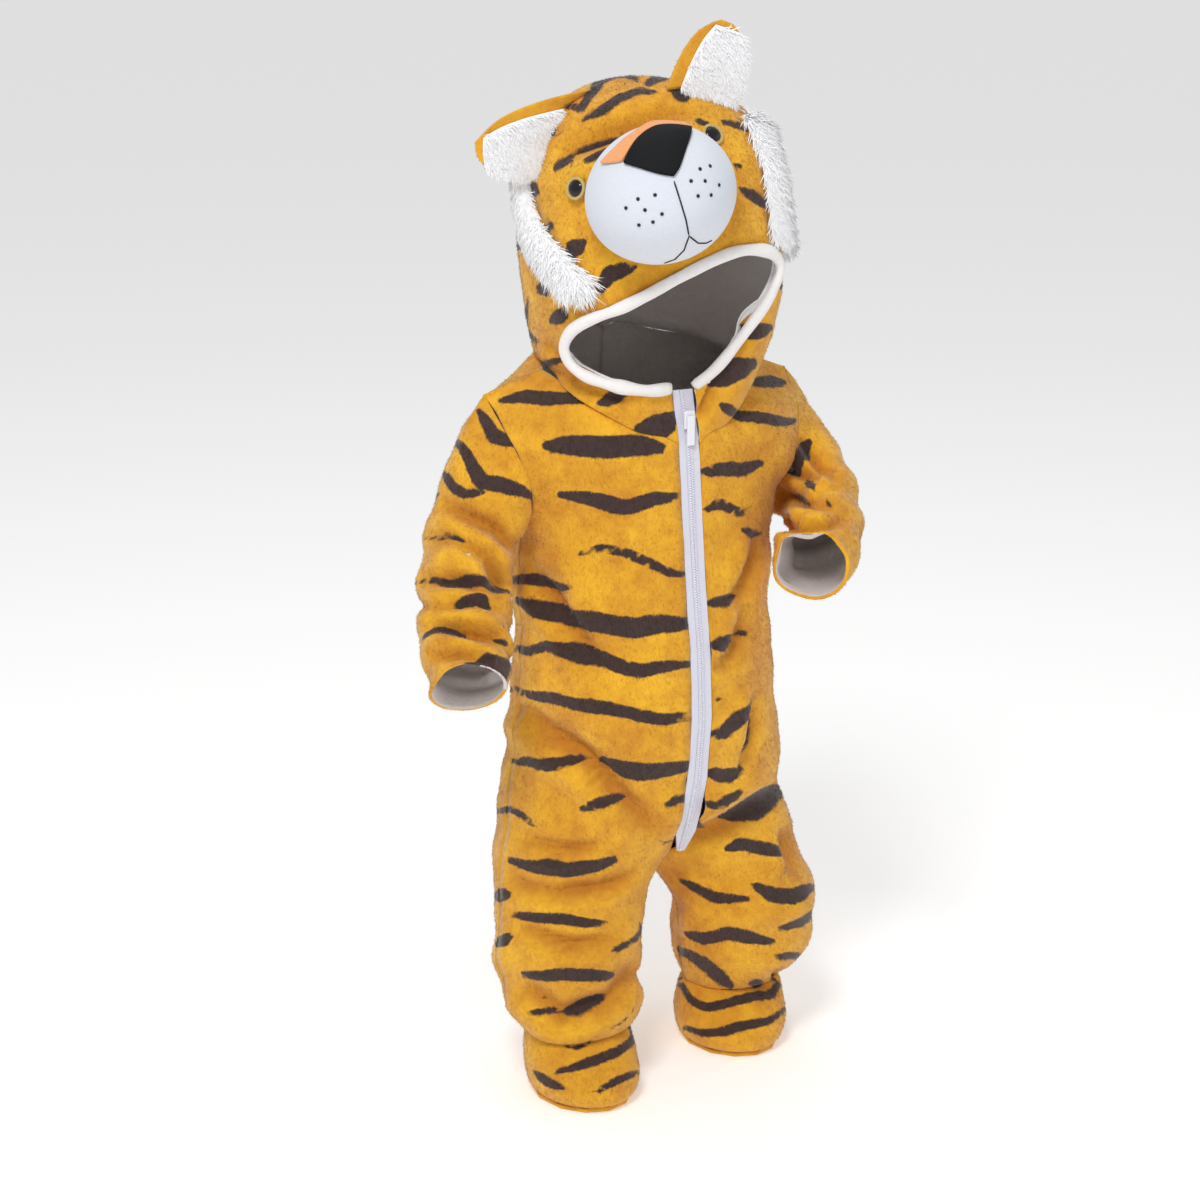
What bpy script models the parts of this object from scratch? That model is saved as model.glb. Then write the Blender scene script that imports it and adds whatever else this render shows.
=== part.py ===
"""Hooded tiger jumpsuit for a toddler, in plush cloth, as it stands when it is worn.

Metres, +Z up, front towards -Y, the wearer's left towards +X. Tables are in millimetres
over the floor; everything hangs from one empty that puts the origin between the shoulders,
where the wearer's body holds the suit.
"""
import math

import bpy
import numpy as np

MM = 0.001
HOLD_HEIGHT = 548 * MM
WALL = 2.8 * MM
LINING_WALL = 1.5 * MM
SEAM_HALF = 0.15 * MM
EYE_LIFT = 0.2 * MM
MUZZLE_LIFT = 0.8 * MM
ZIP_HALF = 8.8 * MM
SOLE_TOP = 2.9 * MM
FLOOR_TO_HOLD = np.array((0.0, 0.0, HOLD_HEIGHT))

# Sections of the suit from the shoulder seam to the ankle, for the wearer's left half.
# inner: point on the neck seam, centre line or inseam; outer: point on the armhole or side seam
# in_pull, out_pull: how the section leaves those two points, as x and y
FRONT_SECTIONS = (
    # name, inner xyz, outer xyz, in_pull xy, out_pull xy
    ("shoulder", (85, 0, 560), (130, 4, 543), (15, 1), (-15, -1)),
    ("neck side", (70, -42, 541), (126, -26, 517), (20, -2), (-16, -12)),
    ("neck corner", (40, -67, 519), (116, -40, 487), (30, -3), (-14, -18)),
    ("neck front", (8.8, -75, 507), (108, -30, 457), (50, -4), (-6, -30)),
    ("underarm", (8.8, -81, 450), (106, 0, 443), (58, 0), (0, -48)),
    ("chest", (8.8, -87, 400), (103, 0, 400), (56, 0), (0, -52)),
    ("waist", (8.8, -95, 350), (103, 0, 350), (56, 0), (0, -56)),
    ("belly", (8.8, -98, 300), (106, 0, 300), (58, 0), (0, -58)),
    ("hip", (8.8, -92, 250), (113, -2, 250), (62, 0), (0, -55)),
    ("seat", (8.8, -79, 208), (119, -5, 208), (62, -12), (0, -60)),
    ("fork", (0.15, -50, 177), (129, -12, 174), (35, -38), (0, -72)),
    ("crotch", (0.15, -14, 158), (134, -22, 150), (10, -75), (0, -82)),
)
BACK_SECTIONS = (
    ("shoulder", (85, 0, 560), (130, 4, 543), (15, 1), (-15, -1)),
    ("neck side", (72, 36, 566), (127, 30, 519), (20, 3), (-16, 12)),
    ("neck corner", (42, 56, 572), (118, 42, 489), (30, 5), (-10, 18)),
    ("neck back", (0.15, 64, 574), (110, 32, 459), (48, 6), (-4, 32)),
    ("underarm", (0.15, 74, 490), (106, 0, 443), (58, 0), (0, 44)),
    ("chest", (0.15, 79, 415), (103, 0, 400), (57, 0), (0, 46)),
    ("waist", (0.15, 78, 352), (103, 0, 350), (57, 0), (0, 46)),
    ("belly", (0.15, 80, 300), (106, 0, 300), (58, 0), (0, 47)),
    ("hip", (0.15, 88, 250), (113, -2, 250), (62, 0), (0, 52)),
    ("seat", (0.15, 86, 208), (119, -5, 208), (62, 4), (0, 60)),
    ("fork", (0.15, 50, 170), (129, -12, 174), (35, 38), (0, 82)),
    ("crotch", (0.15, -14, 158), (134, -22, 150), (10, 78), (0, 88)),
)
# Legs below the crotch: centre x and y, half width, half depth, height
LEG_SECTIONS = {
    "right": (
        ("thigh", 79, -29, 59, 60, 123),
        ("knee", 81, -32, 59, 60, 93),
        ("calf", 81, -38, 55, 54, 70),
        ("ankle", 80, -45, 41, 41, 50),
    ),
    "left": (
        ("thigh", 80, -29, 59, 60, 123),
        ("knee", 82, -25, 60, 60, 93),
        ("calf", 82, -19, 55, 54, 70),
        ("ankle", 77, -15, 41, 41, 50),
    ),
}
UNDERARM = 4
NECK_END = 3
ZIP_END = 9.5
CROTCH = 11
ANKLE = 15
HALF_ROUND = 4.0 / 3.0
NECK_STEPS = 4
BODY_STEPS = 2
BODY_COLUMNS = 6

# Large folds of the front: a soft trough along a line, with a roll of cloth above it
FOLDS = (
    # name, line as x and z, depth, width, roll
    ("right chest", ((-102, 420), (-92, 396), (-78, 370), (-60, 345), (-40, 328)), 6, 9, 4),
    ("right hip", ((-104, 304), (-86, 282), (-62, 264), (-40, 244), (-20, 222)), 8, 10, 6),
    ("left waist", ((104, 386), (84, 372), (60, 352), (36, 340)), 6, 9, 3),
    ("left hip", ((120, 232), (86, 218), (50, 205), (24, 197)), 8, 10, 5),
    ("right knee", ((-136, 96), (-104, 92), (-70, 98), (-40, 92)), 5, 9, 4),
    ("left knee", ((138, 106), (106, 100), (72, 106), (40, 98)), 6, 9, 4),
)

# Sleeves: centre line xyz, half width, and how many gathers lie along it
SLEEVES = {
    "right": {
        "path": ((-113, -2, 498), (-133, -1, 472), (-148, -8, 437), (-163, -26, 399),
                 (-175, -52, 368), (-184, -78, 346)),
        "half_widths": (45, 39, 38, 37, 34, 29),
        "gathers": 7,
        "gather_depth": 3.4,
    },
    "left": {
        "path": ((117, -2, 492), (130, -5, 473), (136, -22, 456), (131, -49, 443),
                 (117, -76, 431), (99, -100, 421), (81, -121, 413)),
        "half_widths": (45, 40, 38, 37, 35, 33, 30),
        "gathers": 6,
        "gather_depth": 2.9,
    },
}
SLEEVE_ROWS = 18
TORSO_HALF_WIDTH = 108 * MM
TORSO_HALF_DEPTH = 86 * MM
TORSO_MIDDLE = -8 * MM
TORSO_GAP = {"right": 5.0 * MM, "left": 6.5 * MM}
SLEEVE_BLEND = 0.45

# Feet: rings from the ankle down: centre shift x and y from the ankle, half width, half length, height
FEET = {
    "right": (
        ("instep", -1, -6, 44, 47, 41),
        ("top", -3, -14, 45, 52, 30),
        ("side", -4, -17, 45, 54, 17),
        ("edge", -4, -17, 42, 51, 6),
        ("floor edge", -4, -16, 37, 46, 3.3),
    ),
    "left": (
        ("instep", -2, -5, 44, 47, 41),
        ("top", -5, -10, 45, 52, 30),
        ("side", -8, -13, 45, 54, 17),
        ("edge", -8, -13, 42, 51, 6),
        ("floor edge", -8, -12, 37, 46, 3.3),
    ),
}

# Hood: an egg about a centre, half sizes to each side, and where its seams run on it
HOOD_CENTRE = np.array((3, -6, 668)) * MM
HOOD_HALF_WIDTH = 99 * MM
HOOD_FRONT = 100 * MM
HOOD_BACK = 106 * MM
HOOD_TOP = 105 * MM
HOOD_BELOW = 170 * MM
HOOD_POWER = 2.4
HOOD_ROWS = 7
SIDE_RELAX = {"right": 2, "left": 12}
FACE_RELAX = 70
TOP_SEAM_MIDDLE = (-120, 84)
# Face opening's lower edge from the zip to its corner, then from the corner to the fur band, xyz
LOWER_LIP = {
    "right": ((-8.8, -64, 548), (-34, -70, 549), (-56, -66, 554), (-73, -52, 560), (-84, -45, 571),
              (-90, -46, 586)),
    "left": ((8.8, -64, 548), (20, -74, 561), (31, -85, 581), (42, -92, 600), (54, -94, 616), (65, -90, 632)),
}
UPPER_LIP = {
    "right": ((-90, -46, 586), (-89, -54, 598), (-82, -66, 607), (-70, -80, 614)),
    "left": ((65, -90, 632), (66, -90, 639), (63, -92, 645), (57, -95, 650)),
}
LIP_STEPS = 10
CORNER_STEPS = 3
# The cloth runs up behind the right corner: degrees round and up for the columns past it
WAY_ROUND_CORNER = {10: (-80, -46), 11: (-84, -39), 12: (-86, -30), 13: (-84, -20), 14: (-86, -14),
                    15: (-90, -13), 16: (-98, -13), 17: (-106, -14)}
# Fur band seam from the opening to the ear, as degrees round from the front and up
BAND_SEAM = {
    "right": ((-50, -20), (-60, -12), (-76, -2), (-90, 8), (-95, 19), (-96, 31), (-98, 42), (-100, 51)),
    "left": ((29, -2), (28, 10), (27, 22), (28, 34), (28, 45), (28, 54), (29, 61)),
}
# Upper edge of the face opening, between the two fur bands, xyz
BROW_EDGE = ((-52, -92, 624), (-30, -101, 637), (-6, -105, 648), (18, -105, 655), (40, -102, 655))
BAND_STEPS = 7
TOP_STEPS = 4
BAND_WIDTH = 27 * MM
BAND_LIFT = 1.3 * MM
BAND_PROFILE = ((0.06, 3.2), (0.3, 9.0), (0.7, 9.0), (1.0, 3.2))
ROLL_HALF_WIDTH = 2.4 * MM
ROLL_LIFT = 0.8 * MM
ROLL_OUT = 1.2 * MM
ROLL_HALF_DEPTH = 1.6 * MM

# Head features
FACE_YAW = math.radians(24.5)
FACE_PITCH = math.radians(15)
FACE_ROLL = math.radians(17)
MUZZLE_HALF_WIDTH = 56 * MM
MUZZLE_HALF_HEIGHT = 50 * MM
MUZZLE_DEPTH = 44 * MM
MUZZLE_STAND = 19 * MM
MUZZLE_WRAP = math.radians(112)
NOSE_TURN = 9
PATCH_SEAT = 0.35 * MM
# Nose and bridge patches on the muzzle: degrees across, and degrees up of the lower and upper edge
NOSE_EDGES = ((-36.5, 26.5, 28), (-29, 21, 40), (-21.5, 15, 47.5), (-12.5, 7.5, 52.5), (-3.5, 3, 55.5),
              (2.5, 7.5, 57), (10, 18, 57), (22, 30, 53.5), (31, 37, 49.5), (40, 43, 44.5))
BRIDGE_EDGES = ((-63.5, 36.5, 38.5), (-54.5, 33.5, 43.5), (-44, 30.5, 51), (-38, 29.5, 55), (-29, 41.5, 58.5),
                (-21.5, 49, 62), (-12.5, 54, 66), (-3.5, 57, 69.5), (10, 58.5, 73), (22, 55.2, 74),
                (31, 51.2, 72), (40, 46.4, 66), (50, 46, 56))
EYES = {"right": (-60, 17), "left": (4, 39)}
EYE_RING = 8.8 * MM
EYE_PUPIL = 6.2 * MM
EARS = {
    # base centre as round and up degrees, line of the base, way up, way the inside faces
    "right": {"base": (-91, 37), "along": (0.15, -0.02, -0.97), "up": (-0.90, 0.06, 0.40)},
    "left": {"base": (16, 60), "along": (0.90, -0.24, -0.33), "up": (0.16, -0.12, 0.98)},
}
EAR_HEIGHT = 54 * MM
EAR_HALF_WIDTH = 27 * MM
EAR_CUP = 7 * MM
# How much of the ear's back its white inner covers, across and up
EAR_INNER_ACROSS = (-0.62, 0.92)
EAR_INNER_UP = 0.92

# Zip: how far it runs and what it is made of
ZIP_TOP = 547 * MM
ZIP_BOTTOM = 185 * MM
ZIP_TAPER = 195 * MM
TAPE_EDGE = 8.5 * MM
CHAIN_HALF = 2.6 * MM
TAPE_THICK = 1.3 * MM
CHAIN_THICK = 2.6 * MM
SLIDER_HEIGHT = 526 * MM

COLOURS = {
    "plush": (0.80, 0.40, 0.035),
    "white_plush": (0.86, 0.87, 0.88),
    "lining": (0.68, 0.65, 0.63),
    "muzzle": (0.84, 0.86, 0.89),
    "black": (0.006, 0.008, 0.012),
    "peach": (0.93, 0.46, 0.18),
    "ring": (0.55, 0.42, 0.12),
    "zip": (0.80, 0.80, 0.85),
}


def unit(vector):
    """A vector of length one."""
    vector = np.asarray(vector, float)
    return vector / max(np.linalg.norm(vector), 1e-12)


def spline(rows, place):
    """Smooth curve through equally spaced rows, read at a place counted in rows."""
    rows = np.asarray(rows, float)
    last = len(rows) - 1
    step = int(min(max(math.floor(place), 0), last - 1))
    part = place - step
    here, following = rows[step], rows[step + 1]
    before = rows[step - 1] if step > 0 else 2 * here - following
    after = rows[step + 2] if step + 2 <= last else 2 * following - here
    return 0.5 * (2 * here + (following - before) * part
                  + (2 * before - 5 * here + 4 * following - after) * part ** 2
                  + (3 * here - before - 3 * following + after) * part ** 3)


def broken_spline(rows, place, corner):
    """The same, but with a corner at one row, where the line turns sharply."""
    if place >= corner:
        return spline(rows[corner:], place - corner)
    return spline(rows[:corner + 1], place)


def smooth_step(value, low, high):
    """Runs from 0 at low to 1 at high without a corner."""
    part = min(max((value - low) / (high - low), 0.0), 1.0)
    return part * part * (3 - 2 * part)


def section_rows(side, half):
    """All sections of one quarter of the suit, as rows of ten numbers in metres."""
    sign = 1 if side == "left" else -1
    front = half == "front"
    rows = []
    for name, inner, outer, in_pull, out_pull in (FRONT_SECTIONS if front else BACK_SECTIONS):
        rows.append((sign * inner[0], inner[1], inner[2], sign * outer[0], outer[1], outer[2],
                     sign * in_pull[0], in_pull[1], sign * out_pull[0], out_pull[1]))
    way = -1 if front else 1
    for name, x, y, half_width, half_depth, height in LEG_SECTIONS[side]:
        pull = way * HALF_ROUND * half_depth
        rows.append((sign * (x - half_width), y, height, sign * (x + half_width), y, height,
                     0, pull, 0, pull))
    return np.array(rows) * MM


ROWS = {(side, half): section_rows(side, half) for side in ("right", "left") for half in ("front", "back")}


def distance_to_line(x, z, line):
    """Distance from a point to a line of points in a plane, and on which side it lies."""
    best = (1e9, 1.0)
    for (ax, az), (bx, bz) in zip(line[:-1], line[1:]):
        ax, az, bx, bz = ax * MM, az * MM, bx * MM, bz * MM
        run = (bx - ax, bz - az)
        share = ((x - ax) * run[0] + (z - az) * run[1]) / (run[0] ** 2 + run[1] ** 2)
        share = min(max(share, 0.0), 1.0)
        gap = (x - ax - share * run[0], z - az - share * run[1])
        length = math.hypot(*gap)
        if length < best[0]:
            best = (length, 1.0 if gap[1] > 0 else -1.0)
    return best


def fold_height(point):
    """How far the large folds move the front of the suit out at a point."""
    x, y, z = point
    height = 0.0
    for name, line, depth, width, roll in FOLDS:
        distance, above = distance_to_line(x, z, line)
        distance /= width * MM
        height -= depth * MM * math.exp(-distance ** 2)
        height += roll * MM * math.exp(-(above * distance - 1.9) ** 2)
    front = smooth_step(-y, 0.0, 0.03)
    centre = smooth_step(abs(x), ZIP_HALF, 0.03)
    return height * front * centre


def centre_line_x(side, half, row):
    """The centre line: closed at the back and below the zip, open by the zip's width above."""
    if half == "back":
        return 0.0
    sign = 1 if side == "left" else -1
    return sign * ZIP_HALF * (1 - smooth_step(row, ZIP_END, ZIP_END + 0.5))


def suit_point(side, half, row, across):
    """Point of the suit's outer face: row counts sections down, across runs from inner to outer seam."""
    rows = ROWS[side, half]
    inner = broken_spline(rows[:, 0:3], row, CROTCH)
    outer = broken_spline(rows[:, 3:6], row, UNDERARM)
    pulls = spline(rows[:, 6:10], row)
    if NECK_END <= row <= CROTCH:
        inner[0] = centre_line_x(side, half, row)
    rise = (outer[2] - inner[2]) / 3
    first = inner + np.array((pulls[0], pulls[1], rise))
    second = outer + np.array((pulls[2], pulls[3], -rise))
    left = 1 - across
    point = (left ** 3 * inner + 3 * left ** 2 * across * first
             + 3 * left * across ** 2 * second + across ** 3 * outer)
    sign = 1 if side == "left" else -1
    leg = 1 - smooth_step(point[2], 0.14, 0.20)
    away = unit((point[0] - sign * 0.078 * leg, point[1] + 0.015, 0))
    return point + away * fold_height(point)


def body_row_places():
    """Places of the mesh rows down the suit: closer at the neck, where the hood joins."""
    neck = [step / NECK_STEPS for step in range(NECK_END * NECK_STEPS)]
    below = [NECK_END + step / BODY_STEPS for step in range((ANKLE - NECK_END) * BODY_STEPS + 1)]
    return neck + below


def suit_grid(side, half):
    """Grid of one quarter panel: a row for each place down the suit."""
    columns = [column / BODY_COLUMNS for column in range(BODY_COLUMNS + 1)]
    return np.array([[suit_point(side, half, row, across) for across in columns]
                     for row in body_row_places()])


def armhole_ring(side):
    """The armhole seam as a ring: over the shoulder to the front, under the arm and up the back."""
    places = [row for row in body_row_places() if row <= UNDERARM]
    front = [suit_point(side, "front", row, 1.0) for row in places]
    back = [suit_point(side, "back", row, 1.0) for row in places]
    return np.array(front + back[-2:0:-1])


def neck_line(side):
    """The neck seam of one side from the front to the back."""
    places = [step / NECK_STEPS for step in range(NECK_END * NECK_STEPS + 1)]
    front = [suit_point(side, "front", row, 0.0) for row in places]
    back = [suit_point(side, "back", row, 0.0) for row in places]
    return np.array(front[::-1] + back[1:])


def clear_of_torso(side, point, share):
    """Moves a sleeve point sideways until it lies just outside the torso."""
    gap = TORSO_GAP[side] * smooth_step(share, -0.04, 0.08)
    depth = min(abs(point[1] - TORSO_MIDDLE) / (TORSO_HALF_DEPTH + gap), 1.0)
    width = (TORSO_HALF_WIDTH + gap) * (1 - depth ** HOOD_POWER) ** (1 / HOOD_POWER)
    return np.array((math.copysign(max(abs(point[0]), width), point[0]), point[1], point[2]))


def turned(vector, axis, angle):
    """A vector turned about an axis."""
    return (vector * math.cos(angle) + np.cross(axis, vector) * math.sin(angle)
            + axis * (axis @ vector) * (1 - math.cos(angle)))


def sleeve_grid(side):
    """Rings of one sleeve from the armhole to the wrist, fanned out evenly round the bend."""
    shape = SLEEVES[side]
    path = np.array(shape["path"]) * MM
    ring = armhole_ring(side)
    start = ring.mean(axis=0)
    path[0] = start
    last = len(path) - 1
    offsets = ring - start
    spread = np.linalg.eigh(offsets.T @ offsets)[1][:, 0]
    first_way = spread * math.copysign(1.0, spread[0] * start[0])
    last_way = unit(path[-1] - path[-2])
    axis = unit(np.cross(first_way, last_way))
    bend = math.acos(first_way @ last_way)
    depths = offsets @ first_way
    flat = offsets - np.outer(depths, first_way)
    top = unit(flat[0])
    side_way = np.cross(first_way, top)
    even = np.unwrap([math.atan2(offset @ side_way, offset @ top) for offset in flat])
    steady = even[0] + (even[-1] - even[0]) * np.arange(len(even)) / (len(even) - 1)
    grid = [ring]
    for step in range(1, SLEEVE_ROWS + 1):
        down = step / SLEEVE_ROWS
        centre = spline(path, down * last)
        round_share = smooth_step(down, 0.0, SLEEVE_BLEND)
        gather_share = smooth_step(down, 0.15, 0.5) * (1 - 0.5 * smooth_step(down, 0.9, 1.0))
        radius = spline(np.array(shape["half_widths"])[:, None] * MM, down * last)[0]
        rows = []
        for index in range(len(ring)):
            angle = even[index] + (steady[index] - even[index]) * round_share
            wave = math.sin(down * shape["gathers"] * math.tau + 0.9 * math.sin(angle))
            size = radius + shape["gather_depth"] * MM * wave * gather_share
            round_offset = size * (top * math.cos(angle) + side_way * math.sin(angle))
            offset = round_offset * round_share + offsets[index] * (1 - round_share)
            rows.append(clear_of_torso(side, centre + turned(offset, axis, bend * down), down))
        grid.append(np.array(rows))
    return np.array(grid)


def ankle_ring(side):
    """The ankle seam as a ring: outer side, front, inner side, back."""
    columns = [column / BODY_COLUMNS for column in range(BODY_COLUMNS + 1)]
    front = [suit_point(side, "front", ANKLE, across) for across in columns[::-1]]
    back = [suit_point(side, "back", ANKLE, across) for across in columns[1:-1]]
    return np.array(front + back)


def foot_grid(side):
    """Rings of one foot from the ankle seam to the sole."""
    ring = ankle_ring(side)
    centre = ring.mean(axis=0)
    grid = [ring]
    for name, shift_x, shift_y, half_width, half_length, height in FEET[side]:
        rows = []
        for point in ring:
            way = unit((point[0] - centre[0], point[1] - centre[1], 0))
            rows.append((centre[0] + shift_x * MM + way[0] * half_width * MM,
                         centre[1] + shift_y * MM + way[1] * half_length * MM,
                         height * MM))
        grid.append(np.array(rows))
    return np.array(grid)


def egg_radius(way):
    """Distance from the hood's centre to its cloth in one direction."""
    depth = HOOD_FRONT if way[1] < 0 else HOOD_BACK
    height = HOOD_TOP if way[2] > 0 else HOOD_BELOW
    total = (abs(way[0] / HOOD_HALF_WIDTH) ** HOOD_POWER + abs(way[1] / depth) ** HOOD_POWER
             + abs(way[2] / height) ** HOOD_POWER)
    return total ** (-1 / HOOD_POWER)


def direction(turn, rise):
    """Unit vector from degrees round from the front and degrees up."""
    turn, rise = math.radians(turn), math.radians(rise)
    return np.array((math.sin(turn) * math.cos(rise), -math.cos(turn) * math.cos(rise), math.sin(rise)))


def egg_point(way, lift=0.0):
    """Point of the hood's cloth in one direction, moved out by lift."""
    way = unit(way)
    return HOOD_CENTRE + way * (egg_radius(way) + lift)


def lip_points(side):
    """The face opening's edge beside and under the face, from the zip to the fur band."""
    lower = [spline(LOWER_LIP[side], step / LIP_STEPS * (len(LOWER_LIP[side]) - 1))
             for step in range(LIP_STEPS + 1)]
    upper = [spline(UPPER_LIP[side], step / CORNER_STEPS * (len(UPPER_LIP[side]) - 1))
             for step in range(1, CORNER_STEPS + 1)]
    return [point * MM for point in lower + upper]


def band_points(side):
    """The fur band's seam from the opening to the ear."""
    start = lip_points(side)[-1]
    ways = [unit(start - HOOD_CENTRE)] + [direction(*angles) for angles in BAND_SEAM[side]]
    last = len(ways) - 1
    points = [start]
    for step in range(1, BAND_STEPS + 1):
        points.append(egg_point(spline(ways, step / BAND_STEPS * last)))
    return points


def top_points(side):
    """The seam over the crown from the ear to its middle."""
    first = unit(band_points(side)[-1] - HOOD_CENTRE)
    middle = direction(*TOP_SEAM_MIDDLE)
    return [egg_point(first * (1 - step / TOP_STEPS) + middle * step / TOP_STEPS)
            for step in range(TOP_STEPS + 1)]


def relaxed(ways, rounds):
    """Spreads the inner points of a grid evenly between its edges."""
    ways = np.array(ways)
    for _ in range(rounds):
        middle = (ways[:-2, 1:-1] + ways[2:, 1:-1] + ways[1:-1, :-2] + ways[1:-1, 2:]) / 4
        ways[1:-1, 1:-1] = middle / np.linalg.norm(middle, axis=2, keepdims=True)
    return ways


def hood_side_grid(side):
    """Grid of one hood side: columns go round from the zip to the back, rows up from the neck."""
    bottom = neck_line(side)
    top = lip_points(side) + band_points(side)[1:] + top_points(side)[1:]
    ways = []
    for row in range(HOOD_ROWS + 1):
        share = row / HOOD_ROWS
        line = []
        for column, (low, high) in enumerate(zip(bottom, top)):
            low_way, high_way = unit(low - HOOD_CENTRE), unit(high - HOOD_CENTRE)
            middle = unit(low_way + high_way)
            if side == "right" and column in WAY_ROUND_CORNER:
                middle = direction(*WAY_ROUND_CORNER[column])
            line.append(unit(low_way * (1 - share) ** 2 + middle * 2 * share * (1 - share)
                             + high_way * share ** 2))
        ways.append(line)
    ways = relaxed(ways, SIDE_RELAX[side])
    grid = []
    for row in range(HOOD_ROWS + 1):
        share = row / HOOD_ROWS
        points = []
        for column, (low, high) in enumerate(zip(bottom, top)):
            low_arm, high_arm = low - HOOD_CENTRE, high - HOOD_CENTRE
            low_error = np.linalg.norm(low_arm) - egg_radius(unit(low_arm))
            high_error = np.linalg.norm(high_arm) - egg_radius(unit(high_arm))
            way = ways[row, column]
            radius = egg_radius(way) + low_error * (1 - share) ** 2 + high_error * share ** 2
            points.append(HOOD_CENTRE + way * radius)
        points[0][0] = math.copysign(ZIP_HALF, points[0][0])
        grid.append(points)
    grid = np.array(grid)
    grid[0] = bottom
    grid[-1] = top
    return grid


def face_grid():
    """Grid of the hood's face: rows go up from the opening, columns from right to left."""
    right, left = band_points("right"), band_points("left")
    low = [right[0]] + [np.array(point) * MM for point in BROW_EDGE] + [left[0]]
    low = [spline(low, step / (2 * TOP_STEPS) * (len(low) - 1)) for step in range(2 * TOP_STEPS + 1)]
    high = top_points("right") + top_points("left")[-2::-1]
    ways = []
    for row in range(BAND_STEPS + 1):
        up = row / BAND_STEPS
        line = []
        for column in range(2 * TOP_STEPS + 1):
            over = column / (2 * TOP_STEPS)
            mix = ((1 - up) * low[column] + up * high[column]
                   + (1 - over) * right[row] + over * left[row]
                   - (1 - up) * ((1 - over) * right[0] + over * left[0])
                   - up * ((1 - over) * right[-1] + over * left[-1]))
            line.append(unit(mix - HOOD_CENTRE))
        ways.append(line)
    ways = relaxed(ways, FACE_RELAX)
    grid = np.array([[egg_point(way) for way in line] for line in ways])
    grid[0], grid[-1] = low, high
    grid[:, 0], grid[:, -1] = right, left
    return grid


def grid_normals(grid, ring):
    """Normals of a grid from its own neighbours; ring closes it across the columns."""
    if ring:
        across = np.roll(grid, -1, axis=1) - np.roll(grid, 1, axis=1)
    else:
        across = np.gradient(grid, axis=1)
    down = np.gradient(grid, axis=0)
    normals = np.cross(across, down)
    lengths = np.linalg.norm(normals, axis=2, keepdims=True)
    return normals / np.maximum(lengths, 1e-12)


class Panel:
    """One cut piece of cloth: a grid of points on its outer face and its wall."""

    def __init__(self, name, grid, outward, material, wall=WALL, ring=False, free=(), radial=False):
        self.name = name
        self.grid = np.array(grid, float)
        self.material = material
        self.wall = wall
        self.ring = ring
        self.free = free
        self.normals = grid_normals(self.grid, ring)
        centre = np.asarray(outward, float)
        reach = ((self.grid - centre) * self.normals).sum()
        self.sign = 1.0 if reach > 0 else -1.0
        self.normals = self.normals * self.sign
        if radial:
            arms = self.grid - centre
            self.normals = arms / np.linalg.norm(arms, axis=2, keepdims=True)

    def edge_places(self):
        rows, columns = self.grid.shape[:2]
        places = [(row, column) for row in (0, rows - 1) for column in range(columns)]
        if not self.ring:
            places += [(row, 0) for row in range(1, rows - 1)]
            places += [(row, columns - 1) for row in range(1, rows - 1)]
        return places

    def edge_ways(self):
        """For each sewn edge point, the way into the piece along its cloth."""
        rows, columns = self.grid.shape[:2]
        ways = {}
        edges = [("first row", 0, 1), ("last row", rows - 1, rows - 2)]
        for name, row, inner in edges:
            for column in range(columns):
                way = self.way_in(self.grid[row, column], self.grid[inner, column],
                                  self.tangent(row, column, True))
                if name not in self.free:
                    ways[row, column] = ways.get((row, column), 0) + way
        if not self.ring:
            for name, column, inner in (("first column", 0, 1), ("last column", columns - 1, columns - 2)):
                for row in range(rows):
                    way = self.way_in(self.grid[row, column], self.grid[row, inner],
                                      self.tangent(row, column, False))
                    if name not in self.free:
                        ways[row, column] = ways.get((row, column), 0) + way
        return ways

    def tangent(self, row, column, along_row):
        rows, columns = self.grid.shape[:2]
        if along_row:
            if self.ring:
                return self.grid[row, (column + 1) % columns] - self.grid[row, column - 1]
            return self.grid[row, min(column + 1, columns - 1)] - self.grid[row, max(column - 1, 0)]
        return self.grid[min(row + 1, rows - 1), column] - self.grid[max(row - 1, 0), column]

    @staticmethod
    def way_in(point, inner, tangent):
        tangent = unit(tangent)
        way = inner - point
        return unit(way - tangent * (way @ tangent))


def place_key(point):
    """Points closer than this are one place on a seam."""
    return tuple(np.round(point, 5) + 0.0)


def part_seams(panels):
    """Draws neighbouring pieces a little apart along their shared seams."""
    totals, counts = {}, {}
    ways = [panel.edge_ways() for panel in panels]
    for panel, own in zip(panels, ways):
        for (row, column), way in own.items():
            key = place_key(panel.grid[row, column])
            totals[key] = totals.get(key, 0) + unit(way)
            counts[key] = counts.get(key, 0) + 1
    for panel, own in zip(panels, ways):
        panel.shift = np.zeros_like(panel.grid)
        for (row, column), way in own.items():
            key = place_key(panel.grid[row, column])
            way = unit(way)
            if counts[key] > 1:
                way = unit(way - (totals[key] - way) / (counts[key] - 1))
            panel.shift[row, column] = way * SEAM_HALF


def share_edge_normals(panels):
    """Makes neighbouring pieces turn their walls the same way where they are sewn together."""
    sums = {}
    for panel in panels:
        for row, column in panel.edge_places():
            key = place_key(panel.grid[row, column])
            sums[key] = sums.get(key, 0) + panel.normals[row, column]
    for panel in panels:
        for row, column in panel.edge_places():
            normal = unit(sums[place_key(panel.grid[row, column])])
            if abs(panel.grid[row, column][0]) < ZIP_HALF + 0.1 * MM:
                normal = unit((0, normal[1], normal[2]))
            panel.normals[row, column] = normal
        if panel.ring:
            panel.normals[1] = np.array([unit(way) for way in panel.normals[0] + panel.normals[1]])


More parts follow.
